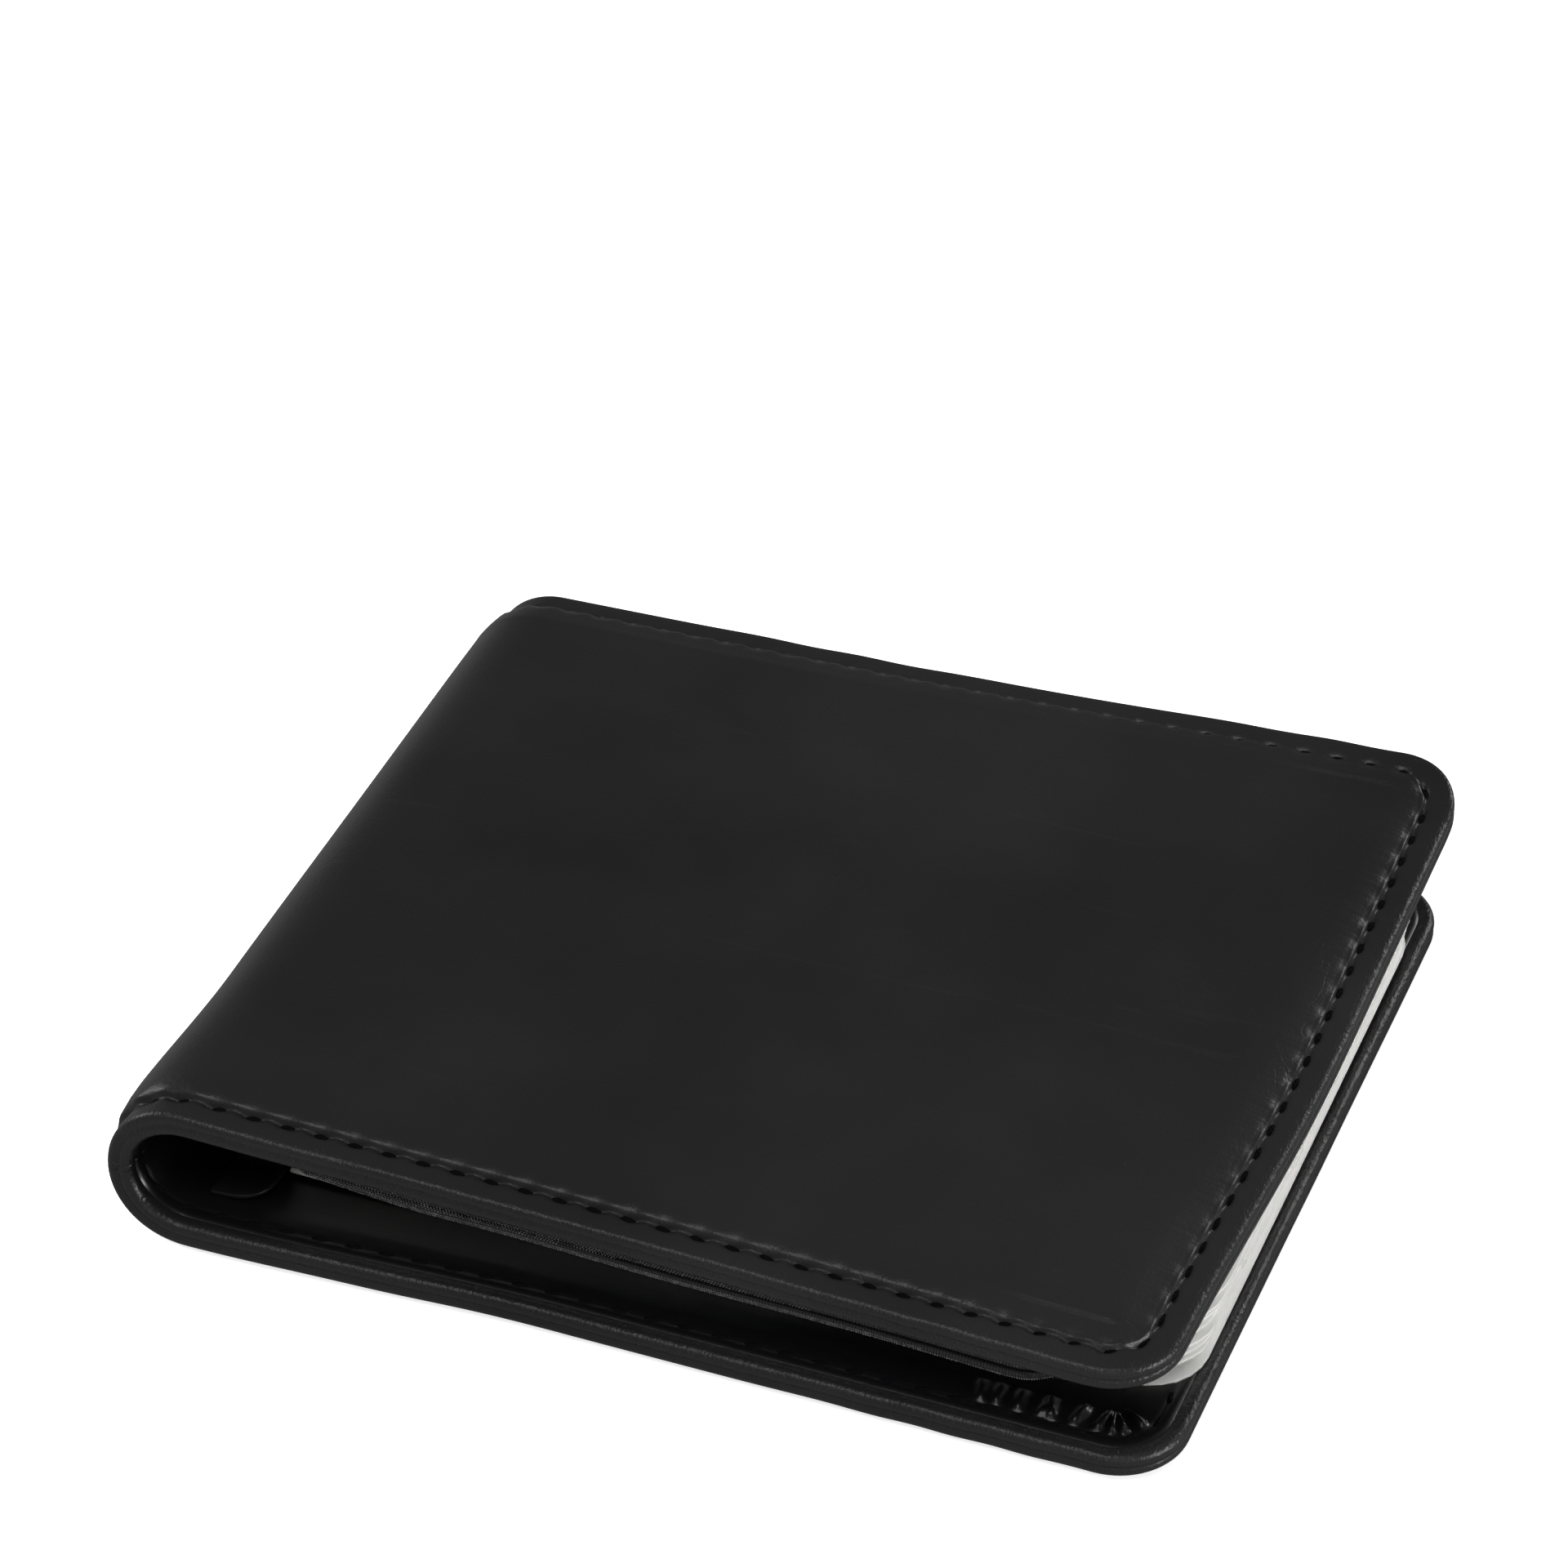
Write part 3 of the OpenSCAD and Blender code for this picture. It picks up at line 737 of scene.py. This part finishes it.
def panel_shape(cover):
    pitch = seam_pitch[cover]

    def shape(s, v, inset, seam):
        between, pull = stitch_phase(seam, pitch)
        swell = (0.5 - between) * pull
        foot = bell(inset, 3.5 * MM, 0.45 * MM) * swell * 0.22 * MM
        dent = bell(inset, 2.55 * MM, 0.35 * MM) * swell * 0.10 * MM
        hole = bell(inset, 3.0 * MM, 0.32 * MM) * ((1 - between) ** 2 * 0.34 - between * 0.22) * MM
        wander = sum(np.sin(seam / (9 + 5 * k) / MM + foot_waves[k]) for k in range(4))
        shoulder = bell(inset, 5.0 * MM, 1.6 * MM) * wander * 0.03 * MM
        edge = bell(inset, 0.4 * MM, 0.9 * MM) * np.sin(seam / (3.1 * MM) + 2 * wander) * 0.05 * MM
        soft_side = smooth((s - cover_s[cover] + 24 * MM) / (12 * MM))
        soft_side = soft_side * smooth((inset - 3.2 * MM) / (0.5 * MM))
        soft = 0.30 * MM * soft_side * (1 - smooth((inset - 3.0 * MM) / (5.5 * MM)))
        slow = np.sin(s / MM / 17 + 1.0) * np.sin(v / MM / 13 + 0.5) * 0.05 * MM
        swelled = swell_at(s, v) * smooth((inset - 3.2 * MM) / (1.5 * MM))
        return (foot + dent + hole + shoulder + edge + soft - swelled
                + slow * smooth((inset - 5 * MM) / (8 * MM)))
    return shape


def tuck(s):
    """Past the middle of the fold a half dips under the other half."""
    return smooth(-s / (0.6 * MM)) * 0.08 * MM


# %% Build the outer leather
leather_pieces = {}
for cover in ("back", "front"):
    pattern = Sheet(-0.6 * MM, cover_s[cover], half_h, corner_r, 0.62 * MM)
    leather_pieces[cover] = build_sheet(
        f"{cover}_leather", pattern, leather_rings,
        lambda s, v, h, cover=cover: bend(cover, s, v, h + tuck(s)), outer_hide,
        shape=panel_shape(cover), thick=0.45 * MM)

# %% [markdown]
# ## The glossy lining
# The lining is a thinner, glazed leather glued inside the turned edge. At the rounded corners it has more
# edge than it can lie flat with, so it is gathered into small pleats that fan out of the corner, just
# inside the seam.

# %% Build the lining
lining_rings = [(d * MM, cover_t + h * MM) for d, h in (
    (1.5, -0.35), (1.75, -0.2), (2.0, -0.06), (2.3, 0.0), (2.6, -0.01), (2.82, -0.04), (3.0, -0.08),
    (3.15, -0.04), (3.3, 0.0), (3.5, 0.02), (3.8, 0.03), (4.2, 0.03), (4.6, 0.05), (5.1, 0.04), (5.7, 0.02),
    (6.4, 0.0))]


def pleats(sheet, pitch):
    """Stitch dents all along a lining, and gathers at its two rounded corners."""
    rng = np.random.default_rng(41)
    corner_at, whole = sheet.seam_at(seam_inset)[[sheet.side, -1]]
    gathers = []
    for number in range(10):
        along = corner_at + (-12.5 + 1.9 * number + rng.uniform(-0.35, 0.35)) * MM
        gathers.append((along, rng.uniform(0.30, 0.44) * MM, rng.uniform(0.6, 1.0) * MM,
                        rng.uniform(4.4, 6.4) * MM, rng.uniform(-0.35, 0.35)))

    def shape(s, v, inset, seam):
        between, _ = stitch_phase(seam, pitch)
        seam_dent = bell(inset, 3.0 * MM, 0.3 * MM) * (1 - between) ** 2 * -0.07 * MM
        from_start = np.where(v < 0, seam, whole - seam)
        rise = 0 * s
        for along, width, high, reach, slant in gathers:
            ridge = bell(from_start + slant * (inset - seam_inset), along, width)
            begin = smooth((inset - 3.15 * MM) / (0.8 * MM))
            end = smooth((3.0 * MM + reach - inset) / (0.45 * reach))
            rise = np.maximum(rise, ridge * (begin * end) * high)
        soft = np.sin(s / MM / 5.3 + 2 * np.sin(v / MM / 9)) * np.sin(v / MM / 4.1 + 0.7)
        lie = smooth((inset - 3.2 * MM) / (3 * MM)) * soft * 0.06 * MM
        return seam_dent + rise + lie
    return shape


lining_pieces = {}
for cover in ("back", "front"):
    pattern = Sheet(-0.5 * MM, cover_s[cover], half_h, corner_r, 0.9 * MM, fine=0.35 * MM)
    lining_pieces[cover] = build_sheet(
        f"{cover}_lining_leather", pattern, lining_rings,
        lambda s, v, h, cover=cover: bend(cover, s, v, h - tuck(s)), lining_hide,
        shape=pleats(pattern, seam_pitch[cover]), thick=-0.3 * MM)

# %% [markdown]
# ## Thread
# A lockstitch seam is one short bar of thread after another, each a little askew and dipping into its
# holes. The tree resamples the seam line at the stitch length, stands the bars on the leather with the
# line's own normals, and gives each a small random turn.

# %% The stitch tree
def new_tree(name, numbers):
    tree = bpy.data.node_groups.new(name, "GeometryNodeTree")
    tree.interface.new_socket("Geometry", in_out="INPUT", socket_type="NodeSocketGeometry")
    for label, value in numbers:
        socket = tree.interface.new_socket(label, in_out="INPUT", socket_type="NodeSocketFloat")
        socket.default_value = value
    tree.interface.new_socket("Material", in_out="INPUT", socket_type="NodeSocketMaterial")
    tree.interface.new_socket("Geometry", in_out="OUTPUT", socket_type="NodeSocketGeometry")
    return tree, add(tree, "NodeGroupInput"), tree.nodes.new("NodeGroupOutput")


def close_tree(tree, source, sink, rows):
    """Realizes the instances, smooths them and gives them the material."""
    real = add(tree, "GeometryNodeRealizeInstances", Geometry=rows.outputs[0])
    smooth_on = add(tree, "GeometryNodeSetShadeSmooth", Geometry=real.outputs[0])
    coat = add(tree, "GeometryNodeSetMaterial", Geometry=smooth_on.outputs[0],
               Material=source.outputs["Material"])
    tree.links.new(coat.outputs[0], sink.inputs[0])
    return tree


def build_stitch_tree():
    tree, source, sink = new_tree("seam_stitches", [
        ("Stitches", 90), ("Length", 0.0021), ("Thread", 0.00034), ("Slant", 0.16), ("Arch", 0.00010)])
    # The line is a row of edges that carries the leather's normal at each point
    line = add(tree, "GeometryNodeMeshToCurve", Mesh=source.outputs["Geometry"])
    even = add(tree, "GeometryNodeResampleCurve", {"mode": "COUNT"}, Curve=line.outputs[0],
               Count=source.outputs["Stitches"])
    along = add(tree, "GeometryNodeInputTangent")
    normal = add(tree, "GeometryNodeInputNamedAttribute", {"data_type": "FLOAT_VECTOR"}, Name="up")
    frame_of = add(tree, "FunctionNodeAxesToRotation", {"primary_axis": "Z", "secondary_axis": "X"})
    tree.links.new(normal.outputs["Attribute"], frame_of.inputs["Primary Axis"])
    tree.links.new(along.outputs["Tangent"], frame_of.inputs["Secondary Axis"])
    chance = add(tree, "FunctionNodeRandomValue", {"data_type": "FLOAT"}, Seed=11)
    chance.inputs[2].default_value, chance.inputs[3].default_value = -0.07, 0.07
    lean = math_node(tree, "ADD", source.outputs["Slant"], chance.outputs[1])
    turn = add(tree, "ShaderNodeCombineXYZ", Z=lean)
    skew = add(tree, "FunctionNodeEulerToRotation", Euler=turn.outputs[0])
    way = add(tree, "FunctionNodeRotateRotation", {"rotation_space": "LOCAL"})
    tree.links.new(frame_of.outputs[0], way.inputs["Rotation"])
    tree.links.new(skew.outputs[0], way.inputs["Rotate By"])
    half = math_node(tree, "MULTIPLY", source.outputs["Length"], 0.5)
    low = math_node(tree, "MULTIPLY", source.outputs["Thread"], -1.2)
    start = add(tree, "ShaderNodeCombineXYZ", X=math_node(tree, "MULTIPLY", half, -1.0), Z=low)
    end = add(tree, "ShaderNodeCombineXYZ", X=half, Z=low)
    top = add(tree, "ShaderNodeCombineXYZ", Z=math_node(tree, "MULTIPLY", source.outputs["Arch"], 2.2))
    arc = add(tree, "GeometryNodeCurveQuadraticBezier", Resolution=7, Start=start.outputs[0],
              Middle=top.outputs[0], End=end.outputs[0])
    round_thread = add(tree, "GeometryNodeCurvePrimitiveCircle", Resolution=6,
                       Radius=source.outputs["Thread"])
    bar = add(tree, "GeometryNodeCurveToMesh", Curve=arc.outputs[0],
              **{"Profile Curve": round_thread.outputs[0], "Fill Caps": True})
    rows = add(tree, "GeometryNodeInstanceOnPoints", Points=even.outputs[0], Instance=bar.outputs[0],
               Rotation=way.outputs[0])
    return close_tree(tree, source, sink, rows)


stitch_tree = build_stitch_tree()


def grow(name, lines, ups, tree, finish, **sizes):
    """Runs a tree on lines of points and keeps the result as a plain mesh."""
    starts = np.cumsum([0] + [len(line) for line in lines])
    edges = [(i, i + 1) for k, line in enumerate(lines) for i in range(starts[k], starts[k + 1] - 1)]
    mesh = bpy.data.meshes.new(name)
    mesh.from_pydata(np.concatenate(lines).tolist(), edges, [])
    up = mesh.attributes.new("up", "FLOAT_VECTOR", "POINT")
    up.data.foreach_set("vector", np.concatenate(ups).astype(np.float32).ravel())
    piece = bpy.data.objects.new(name, mesh)
    scene.collection.objects.link(piece)
    nodes = piece.modifiers.new("rows", "NODES")
    nodes.node_group = tree
    sockets = {item.name: item.identifier for item in tree.interface.items_tree
               if item.item_type == "SOCKET" and item.in_out == "INPUT"}
    nodes[sockets["Material"]] = finish
    for label, value in sizes.items():
        nodes[sockets[label]] = value
    finish_mesh(piece)
    print(f"{name}: {len(piece.data.polygons)} faces")
    return piece


def normals_of(cover, s, v, h):
    out = bend(cover, s, v, h - 0.2 * MM) - bend(cover, s, v, h)
    return out / np.linalg.norm(out, axis=1)[:, None]


# %% Sew the covers
thread_pieces = {}
for cover in ("back", "front"):
    pitch = seam_pitch[cover]
    for face, depth, inward in (("outside", pad_rise + 0.26 * MM, 1), ("inside", cover_t - 0.10 * MM, -1)):
        s, v = Sheet(pitch / 2, cover_s[cover], half_h, corner_r, 0.4 * MM).path(seam_inset)
        h = np.full(len(s), depth)
        thread_pieces[cover, face] = grow(
            f"{cover}_seam_{face}", [bend(cover, s, v, h)], [inward * normals_of(cover, s, v, h)],
            stitch_tree, seam_thread, Stitches=float(stitch_count[cover]), Slant=-0.17 * inward)

# %% [markdown]
# ## Foam and board
# Under each leather lie a sheet of open foam, which pads it, and a thin board, which keeps it flat. They
# stop short of the seam, and can be seen only when the wallet is cut open.

# %% Build the foam and the board
def slab(name, cover, start_s, from_h, to_h, edge_inset, spacing, finish):
    pattern = Sheet(start_s, cover_s[cover] - edge_inset, half_h - edge_inset, corner_r - edge_inset, spacing)
    rings = [(0.0, from_h), (1.5 * MM, from_h), (3.0 * MM, from_h)]
    return build_sheet(name, pattern, rings, lambda s, v, h: bend(cover, s, v, h), finish,
                       thick=(to_h - from_h) * 0.9, seam_inset=1.0 * MM)


core_pieces = {}
for cover in ("back", "front"):
    core_pieces[cover, "foam"] = slab(f"{cover}_foam", cover, 0.3 * MM, 1.05 * MM, 1.85 * MM, 4.6 * MM,
                                      2.0 * MM, open_foam)
    core_pieces[cover, "board"] = slab(f"{cover}_stiffener", cover, crease_s * 2 + 3 * MM, 2.05 * MM,
                                       2.75 * MM, 4.6 * MM, 2.0 * MM, bonded_board)

# %% [markdown]
# ## Bill compartment and card pockets
# Two sheets of cloth hang under the front lining. Their near edges are selvedges. Card pockets of thin
# leather lie on the inner one, each with its mouth a step behind the next.

# %% Build the cloth and the pockets
def grid_piece(name, x, y, z, finish, thick):
    """A sheet from three grids of coordinates, with a thickness."""
    points = settle(np.stack([x.ravel(), y.ravel(), z.ravel()], axis=1))
    index = np.arange(x.size).reshape(x.shape)
    faces = np.stack([index[:-1, :-1], index[:-1, 1:], index[1:, 1:], index[1:, :-1]], -1).reshape(-1, 4)
    mesh = bpy.data.meshes.new(name)
    mesh.from_pydata(points.tolist(), [], faces.tolist())
    mesh.materials.append(finish)
    piece = bpy.data.objects.new(name, mesh)
    scene.collection.objects.link(piece)
    wall = piece.modifiers.new("wall", "SOLIDIFY")
    wall.thickness, wall.offset, wall.use_even_offset = thick, 0.0, False
    soft = piece.modifiers.new("soft", "BEVEL")
    soft.width, soft.segments, soft.limit_method = thick * 0.3, 2, "ANGLE"
    finish_mesh(piece)
    piece.data.polygons.foreach_set("use_smooth", [True] * len(piece.data.polygons))
    print(f"{name}: {len(piece.data.vertices)} points")
    return piece


cloth_droop = {"bill_divider": 0.7 * MM, "bill_lining": 1.2 * MM}
selvedge_turn = 0.6 * MM


def hang(node, x, y, z):
    """The near edge of a compartment cloth hangs down between the fold and the opening corner."""
    run = smooth((x + 38 * MM) / (18 * MM)) * smooth((51 * MM - x) / (13 * MM))
    wave = 1 + 0.10 * np.sin(x / MM / 6.5 + cloth_droop[node] / MM)
    return z - cloth_droop[node] * run * wave * smooth((-39.5 * MM - y) / (5.5 * MM))


def draw_back(x, y):
    """The two ends of the near edge are sewn in a little further back."""
    ends = smooth((x - 40 * MM) / (10 * MM)) + smooth((-34 * MM - x) / (8 * MM))
    return y + 4.2 * MM * ends * smooth((-30 * MM - y) / (15 * MM))


def round_corner(x, y, low, high, radius):
    """Draws the near opening corner of a grid in to a quarter circle."""
    past_x, past_y = x - (high[0] - radius), (low[1] + radius) - y
    inside = (past_x > 0) & (past_y > 0)
    shrink = np.maximum(past_x, past_y) / np.maximum(np.hypot(past_x, past_y), 1e-9)
    return (np.where(inside, x - past_x * (1 - shrink), x),
            np.where(inside, y + past_y * (1 - shrink), y))


def cloth_panel(node):
    low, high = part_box(node)
    columns = np.linspace(low[0], high[0], 110)
    # The last rows turn down at the near edge, so the selvedge faces outward
    rows = np.concatenate([np.linspace(high[1], low[1] + 8 * MM, 40),
                           np.linspace(low[1] + 7 * MM, low[1], 14)])
    x, y = round_corner(*np.meshgrid(columns, rows), low, high, 9 * MM)
    z = hang(node, x, y, np.full(x.shape, (low[2] + high[2]) / 2))
    turned = np.linspace(0, selvedge_turn, 4)[1:]
    y = draw_back(x, y)
    x = np.vstack([x] + [x[-1:]] * 3)
    y = np.vstack([y] + [y[-1:] - 0.05 * MM] * 3)
    z = np.vstack([z] + [z[-1:] - drop for drop in turned])
    return grid_piece(f"{node}_cloth", x, y, z, bill_cloth, 0.3 * MM)


def pocket_panel(node):
    low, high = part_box(node)
    x, y = np.meshgrid(np.linspace(low[0], high[0], 64), np.linspace(low[1], high[1], 54))
    z = np.full(x.shape, (low[2] + high[2]) / 2)
    return grid_piece(f"{node}_leather", x, y, z, pocket_hide, 0.42 * MM)


cloth_nodes = ("bill_divider", "bill_lining")
pocket_nodes = ["pocket_base"] + [f"card_pocket_{n}" for n in (1, 2, 3)]
cloth_pieces = {node: cloth_panel(node) for node in cloth_nodes}
pocket_pieces = {node: pocket_panel(node) for node in pocket_nodes}

# %% [markdown]
# The selvedges show as rows of tiny loops, where the weft turns back. Their thread is painted a lighter grey
# than the cloth:
# partly its own colour, partly a painted highlight for the glints on the loops. Each row is a line of small
# beads, and the broad stretch near the fold has more rows than the rest.

# %% The selvedge tree
def build_loop_tree():
    tree, source, sink = new_tree("selvedge_loops", [("Pitch", 0.00032), ("Loop", 0.00011)])
    line = add(tree, "GeometryNodeMeshToCurve", Mesh=source.outputs["Geometry"])
    even = add(tree, "GeometryNodeResampleCurve", {"mode": "LENGTH"}, Curve=line.outputs[0],
               Length=source.outputs["Pitch"])
    loop = add(tree, "GeometryNodeMeshIcoSphere", Radius=source.outputs["Loop"], Subdivisions=1)
    size = add(tree, "FunctionNodeRandomValue", {"data_type": "FLOAT"}, Seed=5)
    size.inputs[2].default_value, size.inputs[3].default_value = 0.7, 1.15
    rows = add(tree, "GeometryNodeInstanceOnPoints", Points=even.outputs[0], Instance=loop.outputs[0],
               Scale=size.outputs[1])
    return close_tree(tree, source, sink, rows)


loop_tree = build_loop_tree()
selvedge_rows = {  # depth below the turn, and the stretch along X, for each row
    "bill_divider": [(0.20, -42, 50), (0.46, -40, 18), (0.72, -38, -2), (0.98, -34, -8)],
    "bill_lining": [(0.60, -42, 50), (0.34, -40, 30)],
}
selvedge_pieces = {}
for node in cloth_nodes:
    low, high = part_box(node)
    lines = []
    for depth, first, last in selvedge_rows[node]:
        x = np.arange(first, last, 0.5) * MM
        y = np.full(len(x), low[1])
        z = hang(node, x, y, np.full(len(x), (low[2] + high[2]) / 2)) - depth * MM
        lines.append(settle(np.stack([x, draw_back(x, y) - 0.22 * MM, z], axis=1)))
    ups = [np.tile((0.0, -1.0, 0.0), (len(line), 1)) for line in lines]
    selvedge_pieces[node] = grow(f"{node}_selvedge", lines, ups, loop_tree, selvedge_thread_and_glints,
                                 Pitch=0.00032 if node == "bill_divider" else 0.00024)

# %% [markdown]
# ## Clear sleeves
# Eight frosted sleeves are bound to a strip next to the fold and turn like pages. Each is two films welded
# round three sides, and is drawn as one sheet as thick as both. Handling leaves them a little wavy and
# askew, so their edges don't line up exactly.

# %% Build the sleeves
rng = np.random.default_rng(23)
sleeve_corner, weld_w = 6.0 * MM, 2.4 * MM
sleeve_pieces = {}
for number in range(1, 9):
    low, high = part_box(f"clear_sleeve_{number}")
    shift, phase = rng.uniform(-0.8, -0.1) * MM, rng.uniform(0, 6.28)
    # The upper sleeves are turned further than the lower ones, and follow more of the cover's twist
    skew = 0.012 + 0.008 * number + rng.uniform(-0.006, 0.006)
    middle = (low[2] + high[2]) / 2
    share = middle / (11.25 * MM)

    def lay(s, v, h, low=low, middle=middle, share=share, phase=phase, skew=skew):
        wave = 0.10 * MM * np.sin(s / MM / 9 + phase) * np.sin(v / MM / 11 + phase * 2)
        lift = twist(s, v) * smooth((s - low[0]) / (12 * MM)) * share * 0.8
        return np.stack([s, v + skew * (s - low[0]), middle + wave + lift - h], axis=1)

    pattern = Sheet(low[0], high[0] + shift, high[1] + shift / 2, sleeve_corner, 1.6 * MM)
    rings = [(0.0, -0.16 * MM), (weld_w * 0.5, -0.16 * MM), (weld_w, -0.17 * MM),
             (weld_w * 1.3, -0.18 * MM)]
    sleeve_pieces[number] = build_sheet(f"sleeve_{number}_film", pattern, rings, lay, frosted_film,
                                        thick=0.34 * MM, seam_inset=weld_w)
print("sleeves:", len(sleeve_pieces))

# %% Build the binding strip of the sleeves
low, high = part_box("sleeve_strip")
x, y = np.meshgrid(np.linspace(low[0], high[0], 12), np.linspace(low[1], high[1], 80))
x, y = round_corner(x, y, low, high, 3 * MM)
lift = smooth((low[1] + 7 * MM - y) / (7 * MM)) * smooth((x - low[0]) / (high[0] - low[0]))
strip_piece = grid_piece("sleeve_binding", x, y, (low[2] + high[2]) / 2 + 0.3 * MM * lift, pocket_hide,
                         0.5 * MM)

# %% [markdown]
# ## Hand the pieces to the frame
# The leather, lining, thread and foam of each cover stay where they are built, and each board rides on its
# cover's body.
# Everything under the front cover rides on it, each sleeve rides on its own body, and the binding strip rides
# on the back cover.


def follow_cover(piece):
    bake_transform(piece)


for cover in ("back", "front"):
    for piece, slot in ((leather_pieces[cover], "black_leather"), (lining_pieces[cover], "gloss_leather"),
                        (thread_pieces[cover, "outside"], "thread"),
                        (thread_pieces[cover, "inside"], "thread"), (core_pieces[cover, "foam"], "foam")):
        follow_cover(piece)
    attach(core_pieces[cover, "board"], f"{cover}_cover")
    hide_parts(f"{cover}_outer_leather", "spine_outer_leather")
    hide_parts(f"{cover}_lining", "spine_lining")
    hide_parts(f"{cover}_stitching", "spine_stitching")
    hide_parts(f"{cover}_foam_pad", "spine_foam_pad")
    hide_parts(f"{cover}_board")
for node, piece in cloth_pieces.items():
    selvedge = selvedge_pieces[node]
    for part in (piece, selvedge):
        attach(part, "front_cover")
    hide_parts(node)
    low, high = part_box(node)
for node, piece in pocket_pieces.items():
    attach(piece, "front_cover")
    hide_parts(node)
for number, piece in sleeve_pieces.items():
    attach(piece, f"sleeve_{number}")
    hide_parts(f"clear_sleeve_{number}")
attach(strip_piece, "back_cover")
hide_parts("sleeve_strip")
for material_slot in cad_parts["sleeve_spine"].material_slots:
    material_slot.material = lining_hide
